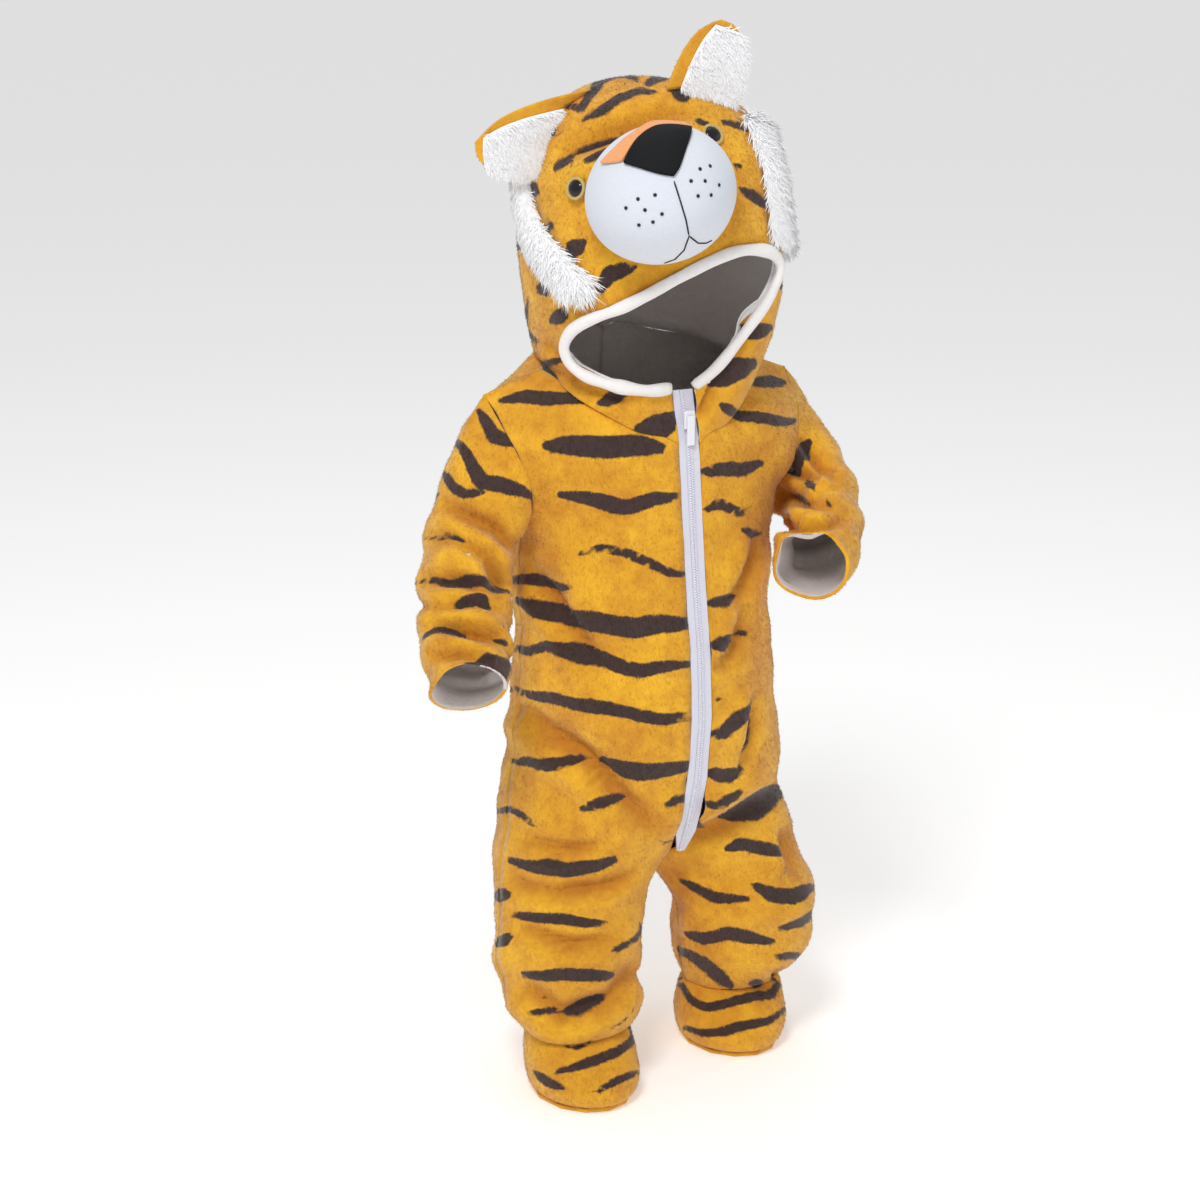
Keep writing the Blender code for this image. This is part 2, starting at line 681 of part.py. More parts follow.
def make_material(name):
    """A plain finish in one of the suit's colours."""
    found = bpy.data.materials.get(name)
    if found:
        return found
    material = bpy.data.materials.new(name)
    material.use_nodes = True
    shader = material.node_tree.nodes["Principled BSDF"]
    shader.inputs["Base Color"].default_value = (*COLOURS[name], 1)
    shader.inputs["Roughness"].default_value = 0.45 if name in ("black", "zip") else 0.85
    return material


def add_object(name, points, faces, material, parent):
    """A closed body from points and faces, placed under a parent with its origin there."""
    home = np.array(parent.matrix_world.translation)
    mesh = bpy.data.meshes.new(name)
    mesh.from_pydata([tuple(np.asarray(point) - FLOOR_TO_HOLD - home) for point in points], [], faces)
    mesh.update()
    mesh.shade_smooth()
    mesh.set_sharp_from_angle(angle=math.radians(40))
    mesh.materials.append(make_material(material))
    shape = bpy.data.objects.new(name, mesh)
    bpy.context.collection.objects.link(shape)
    shape.parent = parent
    return shape


def two_skin_body(name, outer, inner, sign, material, parent, ring=False):
    """A body between an outer and an inner grid, closed by rims along the open edges."""
    rows, columns = outer.shape[:2]
    count = rows * columns
    points = np.concatenate((outer.reshape(-1, 3), inner.reshape(-1, 3)))
    faces = []

    def corner(row, column):
        return row * columns + column % columns

    def quad(a, b, c, d):
        short = np.linalg.norm(points[a] - points[c]) <= np.linalg.norm(points[b] - points[d])
        for face in (((a, b, c), (a, c, d)) if short else ((a, b, d), (b, c, d))):
            faces.append(face if sign > 0 else face[::-1])

    last_column = columns if ring else columns - 1
    for row in range(rows - 1):
        for column in range(last_column):
            a, b = corner(row, column), corner(row, column + 1)
            c, d = corner(row + 1, column + 1), corner(row + 1, column)
            quad(a, b, c, d)
            quad(d + count, c + count, b + count, a + count)
    for column in range(last_column):
        a, b = corner(0, column), corner(0, column + 1)
        quad(b, a, a + count, b + count)
        a, b = corner(rows - 1, column), corner(rows - 1, column + 1)
        quad(a, b, b + count, a + count)
    if not ring:
        for row in range(rows - 1):
            a, b = corner(row, 0), corner(row + 1, 0)
            quad(a, b, b + count, a + count)
            a, b = corner(row, columns - 1), corner(row + 1, columns - 1)
            quad(b, a, a + count, b + count)
    return add_object(name, points, faces, material, parent)


def build_panel(panel, parent):
    """The wall of a cut piece."""
    outer = panel.grid + panel.shift
    inner = outer - panel.normals * panel.wall
    two_skin_body(panel.name, outer, inner, panel.sign, panel.material, parent, panel.ring)


def build_lining(panel, name, parent):
    """White lining inside a hood piece, made from its points moved in."""
    outer = panel.grid + panel.shift - panel.normals * (panel.wall + SEAM_HALF * 2)
    inner = outer - panel.normals * LINING_WALL
    two_skin_body(name, outer, inner, panel.sign, "lining", parent)


def face_axes():
    """Forward, right-hand and up directions of the face on the hood."""
    forward = np.array((-math.sin(FACE_YAW) * math.cos(FACE_PITCH),
                        -math.cos(FACE_YAW) * math.cos(FACE_PITCH), math.sin(FACE_PITCH)))
    level = unit(np.cross((0, 0, 1.0), forward))
    upright = np.cross(forward, level)
    across = level * math.cos(FACE_ROLL) + upright * math.sin(FACE_ROLL)
    up = upright * math.cos(FACE_ROLL) - level * math.sin(FACE_ROLL)
    return forward, across, up


def cloth_along(start, way, lift):
    """Where a line from inside the hood meets its cloth, moved out by lift."""
    near, far = 0.0, 0.2
    for _ in range(40):
        middle = (near + far) / 2
        arm = start + way * middle - HOOD_CENTRE
        if np.linalg.norm(arm) < egg_radius(unit(arm)) + lift:
            near = middle
        else:
            far = middle
    return start + way * near


def muzzle_point(turn, around, lift=0.0):
    """Point on the ball-like muzzle: turn from its tip, around its axis."""
    forward, across, up = face_axes()
    lateral = (across * math.cos(around) * (MUZZLE_HALF_WIDTH + lift)
               + up * math.sin(around) * (MUZZLE_HALF_HEIGHT + lift)) * math.sin(turn)
    tip = cloth_along(HOOD_CENTRE, forward, MUZZLE_LIFT)
    reach = MUZZLE_STAND + (MUZZLE_DEPTH + lift) * math.cos(turn)
    point = tip + forward * reach + lateral
    seat = muzzle_seat(around, 1.0)
    base = tip + forward * (MUZZLE_STAND + MUZZLE_DEPTH * math.cos(MUZZLE_WRAP)) + lateral
    drop = (base - seat) @ forward
    share = smooth_step(turn, math.radians(25), MUZZLE_WRAP)
    return point - forward * drop * share


def muzzle_seat(around, share):
    """Point of the muzzle's back, which lies on the hood's cloth."""
    forward, across, up = face_axes()
    reach = math.sin(MUZZLE_WRAP) * share
    lateral = (across * math.cos(around) * MUZZLE_HALF_WIDTH
               + up * math.sin(around) * MUZZLE_HALF_HEIGHT) * reach
    return cloth_along(HOOD_CENTRE + lateral, forward, MUZZLE_LIFT)


def build_muzzle(parent):
    """The stuffed muzzle: a dome over a back that follows the hood."""
    around_steps, front_steps, back_steps = 20, 8, 3
    points = [muzzle_point(0, 0)]
    for step in range(1, front_steps + 1):
        turn = MUZZLE_WRAP * step / front_steps
        for index in range(around_steps):
            points.append(muzzle_point(turn, math.tau * index / around_steps))
    for step in range(1, back_steps):
        share = 1 - step / back_steps
        for index in range(around_steps):
            points.append(muzzle_seat(math.tau * index / around_steps, share))
    points.append(muzzle_seat(0, 0))
    rings = front_steps + back_steps - 1
    faces = []
    for index in range(around_steps):
        following = (index + 1) % around_steps
        faces.append((0, 1 + index, 1 + following))
        for ring in range(rings - 1):
            start = 1 + ring * around_steps
            faces.append((start + index, start + around_steps + index,
                          start + around_steps + following, start + following))
        start = 1 + (rings - 1) * around_steps
        faces.append((start + index, len(points) - 1, start + following))
    add_object("muzzle", points, faces, "muzzle", parent)


def muzzle_feature(turn, rise, lift):
    """Point on the muzzle by degrees across and up from the middle of the face."""
    way = direction_on_ball(turn + NOSE_TURN, rise)
    return muzzle_point(math.acos(min(max(way[2], -1), 1)), math.atan2(way[1], way[0]), lift)


def direction_on_ball(turn, rise):
    turn, rise = math.radians(turn), math.radians(rise)
    return (math.sin(turn) * math.cos(rise), math.sin(rise), math.cos(turn) * math.cos(rise))


def muzzle_patch(name, table, rows, lift, crown, material, parent):
    """A thin sewn patch on the muzzle between a lower and an upper edge, crowned away from its edges."""
    outer, inner = [], []
    last = len(table) - 1
    for row in range(rows + 1):
        line_out, line_in = [], []
        for column, (turn, low, high) in enumerate(table):
            rise = low + (high - low) * row / rows
            away = min(min(column, last - column, row, rows - row) / 2, 1.0)
            line_out.append(muzzle_feature(turn, rise, lift + crown * away))
            line_in.append(muzzle_feature(turn, rise, PATCH_SEAT))
        outer.append(line_out)
        inner.append(line_in)
    two_skin_body(name, np.array(outer), np.array(inner), 1, material, parent)


def build_eyes(parent):
    """An embroidered ring and a round pupil for each eye."""
    for side, (turn, rise) in EYES.items():
        way = direction(turn, rise)
        centre = egg_point(way)
        level = unit(np.cross((0, 0, 1.0), way))
        upright = np.cross(way, level)
        steps = 12

        def spot(radius, angle, lift):
            place = centre + (level * math.cos(angle) + upright * math.sin(angle)) * radius
            return egg_point(place - HOOD_CENTRE, lift)

        outer, inner = [], []
        for radius in (EYE_PUPIL + 0.3 * MM, EYE_RING):
            outer.append([spot(radius, math.tau * step / steps, 1.5 * MM) for step in range(steps)])
            inner.append([spot(radius, math.tau * step / steps, EYE_LIFT) for step in range(steps)])
        two_skin_body(f"eye_ring_{side}", np.array(outer), np.array(inner), -1, "ring", parent, ring=True)
        points = [spot(0, 0, 2.6 * MM)]
        for radius, lift in ((0.6, 2.3), (1.0, 1.2), (1.0, EYE_LIFT / MM)):
            points += [spot(EYE_PUPIL * radius, math.tau * step / steps, lift * MM) for step in range(steps)]
        points.append(spot(0, 0, EYE_LIFT))
        faces = []
        for step in range(steps):
            following = (step + 1) % steps
            faces.append((0, 1 + step, 1 + following))
            for ring in range(2):
                start = 1 + ring * steps
                beyond = start + steps
                faces.append((start + step, beyond + step, beyond + following, start + following))
            faces.append((1 + 2 * steps + step, len(points) - 1, 1 + 2 * steps + following))
        add_object(f"eye_pupil_{side}", points, faces, "black", parent)


def down_column(panel, column, distance):
    """Point and normal of a piece at a distance below its last row, along one column."""
    line, normals = panel.grid[::-1, column], panel.normals[::-1, column]
    for index in range(len(line) - 1):
        length = np.linalg.norm(line[index + 1] - line[index])
        if distance <= length or index == len(line) - 2:
            share = distance / length
            normal = unit(normals[index] * (1 - share) + normals[index + 1] * share)
            return line[index] * (1 - share) + line[index + 1] * share, normal
        distance -= length


def build_band(side, panel, parent):
    """Fur band that lies on the hood side along the face seam, made from the side's points."""
    first = LIP_STEPS + CORNER_STEPS + 1
    outer, inner = [], []
    for column in range(first, first + BAND_STEPS - 2):
        line_out, line_in = [], []
        for share, lift in BAND_PROFILE:
            point, normal = down_column(panel, column, BAND_WIDTH * share)
            line_out.append(point + normal * lift * MM)
            line_in.append(point + normal * BAND_LIFT)
        outer.append(line_out)
        inner.append(line_in)
    outer, inner = np.array(outer), np.array(inner)
    sign = 1.0 if ((outer - inner) * grid_normals(outer, False)).sum() > 0 else -1.0
    two_skin_body(f"fur_band_{side}", outer, inner, sign, "white_plush", parent)


def ear_point(side, across, up, depth):
    """Point of an ear: across from -1 to 1, up from base to tip, depth behind its face."""
    shape = EARS[side]
    base = direction(*shape["base"])
    root = egg_point(base)
    along = unit(shape["along"])
    rise = np.array(shape["up"], float)
    rise = unit(rise - along * (rise @ along))
    facing = np.cross(along, rise)
    if facing[1] > 0:
        facing = -facing
    width = EAR_HALF_WIDTH * math.sqrt(1 - (0.985 * up) ** 2.6)
    cup = EAR_CUP * (across * width / EAR_HALF_WIDTH) ** 2 - EAR_CUP * 0.4
    point = (root + along * across * width + rise * EAR_HEIGHT * up
             + facing * (cup * (1 - 0.3 * up) - depth))
    return point


def ear_rise(side):
    """The way an ear stands up, square to the line of its base."""
    along = unit(EARS[side]["along"])
    rise = np.array(EARS[side]["up"], float)
    return unit(rise - along * (rise @ along))


def ear_seat(side, point):
    """How far a point of an ear's base moves up the ear to sit on the hood."""
    rise = ear_rise(side)
    seat = cloth_along(point - rise * EAR_HEIGHT, rise, 0.9 * MM)
    return (seat - point) @ rise


def build_ear(side, parent):
    """Ear back in plush and a soft white ear inner, a hair apart, both seated on the hood."""
    columns, rows = 6, 6
    layers = {"ear_back": (1.0 * MM, 3.8 * MM, "plush", (-1, 1), 1.0),
              "ear_inner": (-7 * MM, 0.0, "white_plush", EAR_INNER_ACROSS, EAR_INNER_UP)}
    for name, (front, back, material, sides, top) in layers.items():
        faces_out, faces_in = [], []
        for row in range(rows + 1):
            line_front, line_back = [], []
            for column in range(columns + 1):
                share = -1 + 2 * column / columns
                across = sides[0] + (sides[1] - sides[0]) * column / columns
                up = row / rows * top
                pillow = 1.0
                if name == "ear_inner":
                    pillow = max(0.25, (1 - share ** 4) * (1 - (row / rows) ** 4))
                for depth, line in ((front * pillow, line_front), (back, line_back)):
                    seat = ear_seat(side, ear_point(side, across, 0.0, depth))
                    line.append(ear_point(side, across, up, depth) + ear_rise(side) * seat * (1 - up))
            faces_out.append(line_front)
            faces_in.append(line_back)
        outer, inner = np.array(faces_out), np.array(faces_in)
        normals = grid_normals(outer, False)
        sign = 1.0 if ((outer - inner) * normals).sum() > 0 else -1.0
        two_skin_body(f"{name}_{side}", outer, inner, sign, material, parent)


def centre_front(height):
    """Depth of the centre front line at a height, hood lip included."""
    rows = [(548, -64), (528, -69), (507, -75), (450, -81), (400, -87), (350, -95),
            (300, -98), (250, -92), (208, -79), (190, -68)]
    heights = np.array([row[0] for row in rows[::-1]]) * MM
    depths = np.array([row[1] for row in rows[::-1]]) * MM
    return float(np.interp(height, heights, depths))


def zip_strip(name, left, right, front, thick, material, parent, top=ZIP_TOP, bottom=ZIP_BOTTOM):
    """A strip of the zip that follows the centre front from top to bottom."""
    steps = 22
    outer, inner = [], []
    for step in range(steps + 1):
        height = top + (bottom - top) * step / steps
        depth = centre_front(height) - front
        widest = TAPE_EDGE * (1 - 0.6 * smooth_step(ZIP_TAPER - height, 0, ZIP_TAPER - bottom))
        low, high = max(left, -widest), min(right, widest)
        outer.append([(low, depth, height), (high, depth, height)])
        inner.append([(low, depth + thick, height), (high, depth + thick, height)])
    two_skin_body(name, np.array(outer), np.array(inner), -1, material, parent)


def box_body(name, low, high, material, parent):
    """A plain block between two corners, in the suit's floor frame."""
    outer = np.array([[(low[0], low[1], high[2]), (high[0], low[1], high[2])],
                      [(low[0], low[1], low[2]), (high[0], low[1], low[2])]])
    inner = outer + np.array((0, high[1] - low[1], 0))
    two_skin_body(name, outer, inner, -1, material, parent)


def build_zip(parent, tab_parent_name):
    """Two tapes, the chain between them, the slider and its hanging pull tab."""
    zip_strip("zip_tape_right", -TAPE_EDGE, -CHAIN_HALF - 0.2 * MM, 0.2 * MM, TAPE_THICK, "zip", parent)
    zip_strip("zip_tape_left", CHAIN_HALF + 0.2 * MM, TAPE_EDGE, 0.2 * MM, TAPE_THICK, "zip", parent)
    zip_strip("zip_chain", -CHAIN_HALF, CHAIN_HALF, 1.0 * MM, CHAIN_THICK, "zip", parent)
    front = centre_front(SLIDER_HEIGHT)
    face = front - 2.2 * MM
    box_body("zip_slider", (-4.4 * MM, face - 4.6 * MM, SLIDER_HEIGHT - 7 * MM),
             (4.4 * MM, face - 1.6 * MM, SLIDER_HEIGHT + 7 * MM), "zip", parent)
    hinge = bpy.data.objects.new(tab_parent_name, None)
    bpy.context.collection.objects.link(hinge)
    hinge.parent = parent
    hinge.location = (0, face - 5.8 * MM, SLIDER_HEIGHT + 3 * MM - HOLD_HEIGHT)
    bpy.context.view_layer.update()
    box_body("zip_pull_tab", (-3.2 * MM, face - 6.6 * MM, SLIDER_HEIGHT - 19 * MM),
             (3.2 * MM, face - 5.0 * MM, SLIDER_HEIGHT + 3.6 * MM), "zip", hinge)


def opening_edge(side_panels, face):
    """The face opening's edge from zip to zip: points, ways out of the cloth and normals."""
    right, left = side_panels
    last = LIP_STEPS + CORNER_STEPS
    points = np.concatenate((right.grid[-1, :last], face.grid[0], left.grid[-1, :last][::-1]))
    tangents = np.gradient(points, axis=0)
    edge = []
    for point, tangent in zip(points, tangents):
        arm = unit(point - HOOD_CENTRE)
        level = unit((arm[0], arm[1], 0))
        low = 1 - smooth_step(point[2], 0.56, 0.60)
        normal = unit(arm * (1 - low) + level * low)
        edge.append((point, unit(np.cross(tangent, normal)), normal))
    return edge


def smoothed_place(edge, place):
    """An edge place whose ways are shared with its neighbours."""
    before, here, after = edge[max(place - 1, 0)], edge[place], edge[min(place + 1, len(edge) - 1)]
    return (here[0], unit(before[1] + here[1] * 2 + after[1]), unit(before[2] + here[2] * 2 + after[2]))


def build_roll(edge, parent):
    """White turned edge round the face opening, from one side of the zip to the other."""
    sides = 6
    points, faces = [], []
    edge = [smoothed_place(edge, place) for place in range(len(edge))]
    for end, following in ((0, 1), (-1, -2)):
        edge[end] = tuple(edge[end][part] * 0.7 + edge[following][part] * 0.3 for part in range(3))
    for point, way, normal in edge:
        middle = point + way * ROLL_OUT + normal * (ROLL_HALF_DEPTH + ROLL_LIFT)
        for step in range(sides):
            angle = math.tau * step / sides
            points.append(middle + way * math.cos(angle) * ROLL_HALF_WIDTH
                          + normal * math.sin(angle) * ROLL_HALF_DEPTH)
    for ring in range(len(edge) - 1):
        for step in range(sides):
            following = (step + 1) % sides
            faces.append((ring * sides + step, (ring + 1) * sides + step,
                          (ring + 1) * sides + following, ring * sides + following))
    faces.append(tuple(range(sides)))
    faces.append(tuple(range((len(edge) - 1) * sides, len(edge) * sides))[::-1])
    add_object("opening_roll", points, faces, "lining", parent)


def build_sole(side, parent):
    """Flat plush sole inside the foot's lower edge."""
    ring = foot_grid(side)[-1]
    if side == "left":
        ring = ring[::-1]
    centre = ring.mean(axis=0)
    count = len(ring)
    points = [(centre[0], centre[1], SOLE_TOP)]
    for share, height in ((0.5, SOLE_TOP), (1.0, SOLE_TOP), (1.0, 0.0), (0.5, 0.0)):
        for point in ring:
            place = centre + (point - centre) * share
            points.append((place[0], place[1], height))
    points.append((centre[0], centre[1], 0.0))
    faces = []
    for step in range(count):
        following = (step + 1) % count
        faces.append((0, 1 + step, 1 + following))
        for level in range(3):
            start = 1 + level * count
            faces.append((start + step, start + count + step, start + count + following, start + following))
        start = 1 + 3 * count
        faces.append((start + step, len(points) - 1, start + following))
    return add_object(f"sole_{side}", points, faces, "plush", parent)


def main():
    for old in list(bpy.data.objects):
        bpy.data.objects.remove(old, do_unlink=True)
    root = bpy.data.objects.new("suit", None)
    bpy.context.collection.objects.link(root)
    bpy.context.view_layer.update()
    panels = []
    hood_panels = []
    for side in ("right", "left"):
        sign = 1 if side == "left" else -1
        for half in ("front", "back"):
            middle = np.array((sign * 0.05, -0.01, 0.3))
            panels.append(Panel(f"{half}_{side}", suit_grid(side, half), middle, "plush"))
        grid = sleeve_grid(side)
        middle = grid.mean(axis=(0, 1))
        panels.append(Panel(f"sleeve_{side}", grid, middle, "plush", ring=True, free=("last row",)))
        grid = foot_grid(side)
        panels.append(Panel(f"foot_upper_{side}", grid, grid.mean(axis=(0, 1)), "plush", ring=True))
        grid = hood_side_grid(side)
        hood_panels.append(Panel(f"hood_side_{side}", grid, HOOD_CENTRE, "plush", radial=True))
    face = Panel("hood_face", face_grid(), HOOD_CENTRE, "plush", radial=True)
    share_edge_normals(panels + hood_panels + [face])
    part_seams(panels + hood_panels + [face])
    for panel in panels + hood_panels + [face]:
        build_panel(panel, root)
    build_lining(face, "lining_face", root)
    for panel in hood_panels:
        side = panel.name.rsplit("_", 1)[1]
        build_lining(panel, f"lining_{side}", root)
        build_band(side, panel, root)
        build_ear(side, root)
        build_sole(side, root)
    build_roll(opening_edge(hood_panels, face), root)
    build_muzzle(root)
    muzzle_patch("nose", NOSE_EDGES, 5, 1.6 * MM, 1.0 * MM, "black", root)
    muzzle_patch("nose_bridge", BRIDGE_EDGES, 3, 1.2 * MM, 0.2 * MM, "peach", root)
    build_eyes(root)
    build_zip(root, "pull_tab_hinge")


main()
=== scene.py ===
"""Looks of a toddler's hooded tiger jumpsuit in plush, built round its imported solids.

Metres, +Z up, front towards -Y, the wearer's left towards +X. Stripes and creases are listed as
they are seen from the front quarter, in millimetres across and up from the middle of that view,
and go through to the hidden side of each tube of cloth.
"""
import math

import bmesh
import bpy
import numpy as np
from mathutils import Matrix, Vector
from mathutils.bvhtree import BVHTree
from mathutils.kdtree import KDTree


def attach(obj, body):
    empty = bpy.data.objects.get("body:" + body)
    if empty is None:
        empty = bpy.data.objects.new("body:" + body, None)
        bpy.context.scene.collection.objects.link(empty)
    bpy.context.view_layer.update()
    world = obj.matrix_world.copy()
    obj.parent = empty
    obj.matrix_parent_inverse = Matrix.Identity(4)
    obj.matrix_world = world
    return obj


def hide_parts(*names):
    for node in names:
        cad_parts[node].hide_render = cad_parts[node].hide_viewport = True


MM = 0.001
HOLD_HEIGHT = 0.548
# The front quarter view that the stripe and crease tables belong to
VIEW_TURN = math.radians(-28)
VIEW_RISE = math.radians(15)
VIEW_DISTANCE = 2.10
VIEW_LENS = 80.77
VIEW_AIM_SIDE = -0.031
VIEW_AIM_HEIGHT = 0.370 - HOLD_HEIGHT

# Stripes: width, and points across and up in the front quarter view
SUIT_RIGHT = (
    (8.6, ((-78, 154), (-56, 158), (-35, 158), (-16, 156), (1, 153))),
    (13.3, ((-41, 120), (-14, 119), (17, 120), (48, 118))),
    (10.1, ((-31, 82), (1, 76), (21, 73), (42, 79), (63, 80))),
    (7, ((-16, 37), (1, 41), (17, 37), (38, 28), (53, 20), (69, 19))),
    (7.8, ((-72, 18), (-44, 13), (-21, 11))),
    (12.5, ((-62, -1), (-44, -7), (-21, -16), (3, -19), (27, -22), (76, -17))),
    (9.4, ((-65, -39), (-44, -37), (-21, -39), (-5, -46), (11, -51), (32, -54), (73, -51))),
    (8.6, ((-69, -70), (-40, -76), (-13, -81), (14, -87), (46, -94), (74, -91))),
    (7.8, ((-69, -125), (-49, -128), (-31, -126), (-13, -123))),
    (10.9, ((-4, -127), (14, -133), (35, -134), (58, -132), (74, -128))),
    (7, ((-16, -164), (-1, -158), (17, -155))), (5.5, ((49, -161), (60, -156), (72, -152))),
    (2.3, ((38, -183), (50, -188), (59, -186))),
    (10.1, ((-70, -204), (-49, -207), (-26, -211), (-8, -207), (11, -203))),
    (5.5, ((-82, -162), (-67, -166), (-47, -174))), (9.4, ((-82, -230), (-71, -231))),
    (7.8, ((-69, -247), (-42, -247), (-16, -250), (7, -250))),
    (4.7, ((6, -276), (23, -268), (33, -258), (32, -252))), (1.6, ((26, -235), (30, -227))),
    (7.8, ((-80, -268), (-69, -262))),
    (8.6, ((-59, -291), (-50, -292), (-29, -292), (-9, -294), (12, -294))),
    (7, ((-31, -327), (-21, -325), (-5, -317), (9, -310))),
    (3.9, ((-55, -319), (-42, -323), (-31, -328))), (3.1, ((-49, -310), (-41, -314))),
    (2.3, ((6, -332), (18, -324), (23, -315))),
    (3.9, ((-30, -345), (-19, -349), (-9, -344), (-4, -337))),
    (7, ((-33, -367), (-23, -366), (-3, -358), (14, -352), (24, -345), (27, -337), (23, -333))),
    (5.5, ((-5, -384), (7, -378), (16, -374), (32, -367))),
    (6.2, ((-51, -366), (-39, -374), (-29, -381))),
)
SUIT_LEFT = (
    (8.6, ((76, 99), (93, 102), (112, 101), (127, 108))),
    (7, ((81, 69), (94, 76), (109, 69), (119, 71))), (6.2, ((110, 56), (118, 51), (126, 52))),
    (3.1, ((79, 37), (90, 41))), (7.8, ((83, -3), (96, -2), (108, 3))),
    (10.1, ((86, -35), (96, -34), (108, -31))), (3.9, ((110, -28), (115, -26), (122, -28))),
    (3.9, ((83, -73), (93, -76), (101, -82))),
    (8.6, ((83, -106), (94, -106), (105, -94), (119, -80))),
    (3.9, ((122, -91), (119, -109), (112, -124))), (8.6, ((83, -134), (100, -136), (111, -132))),
    (6.2, ((78, -157), (89, -158), (108, -146))), (4.7, ((73, -170), (80, -178), (89, -180))),
    (7.8, ((119, 169), (147, 172))), (7.8, ((94, 151), (109, 142), (152, 140))),
    (14, ((104, -168), (121, -163), (143, -147))),
    (8.6, ((98, -195), (112, -190), (126, -193), (144, -197))),
    (7, ((61, -219), (76, -226), (92, -233), (115, -234))),
    (9.4, ((119, -222), (135, -230), (152, -232), (167, -223))),
    (6.2, ((139, -257), (157, -252), (168, -241))),
    (8.6, ((68, -259), (83, -264), (99, -261), (135, -267))),
    (7.8, ((56, -271), (63, -275), (70, -275), (80, -282), (90, -292), (103, -300))),
    (5.5, ((134, -278), (147, -278), (160, -278))), (7, ((117, -299), (126, -299))),
    (7, ((63, -300), (70, -311), (83, -317), (99, -314), (119, -310), (133, -309),
         (139, -300), (135, -296))),
    (6.2, ((67, -332), (80, -338), (98, -336), (111, -333), (133, -327), (144, -318))),
    (3.1, ((58, -292), (65, -296))), (2.3, ((59, -236), (62, -239))),
)
SLEEVE_RIGHT = (
    (8.6, ((-94, 148), (-83, 129), (-64, 120))),
    (10.1, ((-112, 122), (-101, 108), (-92, 93), (-76, 88), (-54, 81))),
    (7, ((-122, 99), (-115, 88), (-105, 83), (-92, 83))), (6.2, ((-137, 79), (-127, 83))),
    (3.9, ((-137, 49), (-121, 51), (-105, 44))),
    (6.2, ((-142, 15), (-121, 15), (-102, 19), (-86, 15), (-73, 5))),
    (7.8, ((-113, -2), (-95, 1), (-87, -7))), (6.2, ((-135, -31), (-127, -23), (-105, -23))),
    (4.7, ((-80, -30), (-73, -37))), (10.9, ((-105, -55), (-87, -48), (-76, -51), (-76, -65))),
)
SLEEVE_LEFT = (
    (9.5, ((146, 100), (154, 109), (163, 123))), (6.0, ((161, 96), (167, 86))),
    (3.4, ((144, 80), (153, 82), (162, 80))), (2.6, ((176, 80), (180, 73))),
    (5.0, ((126, 53), (127, 35))),
)
HOOD = (
    (6.1, ((-35, 381), (-29, 384), (-14, 383), (-9, 393), (2, 406), (16, 410), (30, 406))),
    (6.1, ((-16, 374), (2, 381), (16, 391), (30, 397), (43, 395))),
    (6.1, ((34, 401), (43, 407), (54, 410))), (7.2, ((55, 396), (70, 394))),
    (5.1, ((-32, 342), (-23, 353), (5, 363), (44, 376))),
    (7.2, ((-35, 335), (-29, 342), (-18, 340))), (8.1, ((-12, 339), (-2, 345), (9, 350))),
    (4, ((-56, 314), (-43, 319))), (6.1, ((-42, 296), (-37, 285))),
    (11.2, ((-24, 268), (-20, 275), (-11, 280))), (10.1, ((0, 241), (7, 254), (27, 261))),
    (5.1, ((91, 373), (105, 370), (115, 366))), (5.1, ((73, 377), (87, 370))),
    (6.1, ((104, 339), (111, 335))), (7.2, ((110, 320), (122, 314), (129, 307))),
    (6.1, ((-48, 246), (-41, 237))), (9.1, ((-39, 216), (-30, 222), (-27, 227))),
    (6.1, ((-61, 208), (-47, 203))), (4, ((-55, 237), (-60, 207))), (5.1, ((136, 244), (145, 244))),
    (10.1, ((113, 207), (131, 211))), (5.1, ((-54, 183), (-31, 186))), (9.1, ((1, 154), (21, 163))),
    (14.2, ((30, 132), (47, 134), (57, 142))), (14.2, ((84, 167), (101, 178), (119, 184))),
    (7.2, ((94, 151), (107, 144))), (9.1, ((-66, 281), (-55, 273), (-41, 264))),
    (8.1, ((-74, 328), (-62, 323), (-47, 323))), (8.1, ((-62, 359), (-47, 365), (-31, 363))),
    (9.1, ((70, 421), (87, 417), (105, 402))), (9.1, ((125, 367), (134, 357), (142, 343))),
    (8.1, ((129, 312), (139, 304), (144, 295))), (8.1, ((125, 273), (136, 264))),
)
# Creases: depth, and points across and up in the same view
SUIT_FOLDS = (
    (6, ((-59, 30), (-48, 13), (-32, -9), (-12, -39), (3, -53))),
    (7, ((-64, -80), (-44, -101), (-13, -122), (7, -144), (32, -170), (42, -185))),
    (5, ((124, 52), (122, 34), (112, 9), (101, -5))),
    (5, ((115, -2), (112, -24), (104, -41), (90, -56))),
    (4, ((122, -70), (119, -109), (111, -133))), (7, ((141, -147), (94, -176), (60, -193))),
    (6, ((145, -176), (148, -195), (152, -214))), (6, ((148, -292), (142, -295), (135, -296))),
    (7, ((-59, -300), (-31, -327), (9, -310), (31, -285))),
    (5, ((-62, -187), (-31, -195), (0, -192))),
    (5, ((-74, -218), (-39, -229), (0, -225), (31, -211))),
    (5, ((-62, -257), (-23, -270), (16, -264))),
)
SLEEVE_RIGHT_FOLDS = (
    (6, ((-126, 76), (-81, 55), (-61, 36))), (6, ((-137, 48), (-113, 50), (-87, 36), (-73, 7))),
    (6, ((-142, 15), (-108, 16), (-73, 7))), (5, ((-144, -5), (-101, -2), (-76, -7))),
    (6, ((-135, -16), (-104, -23), (-76, -30))), (5, ((-133, -43), (-108, -41), (-82, -47))),
)
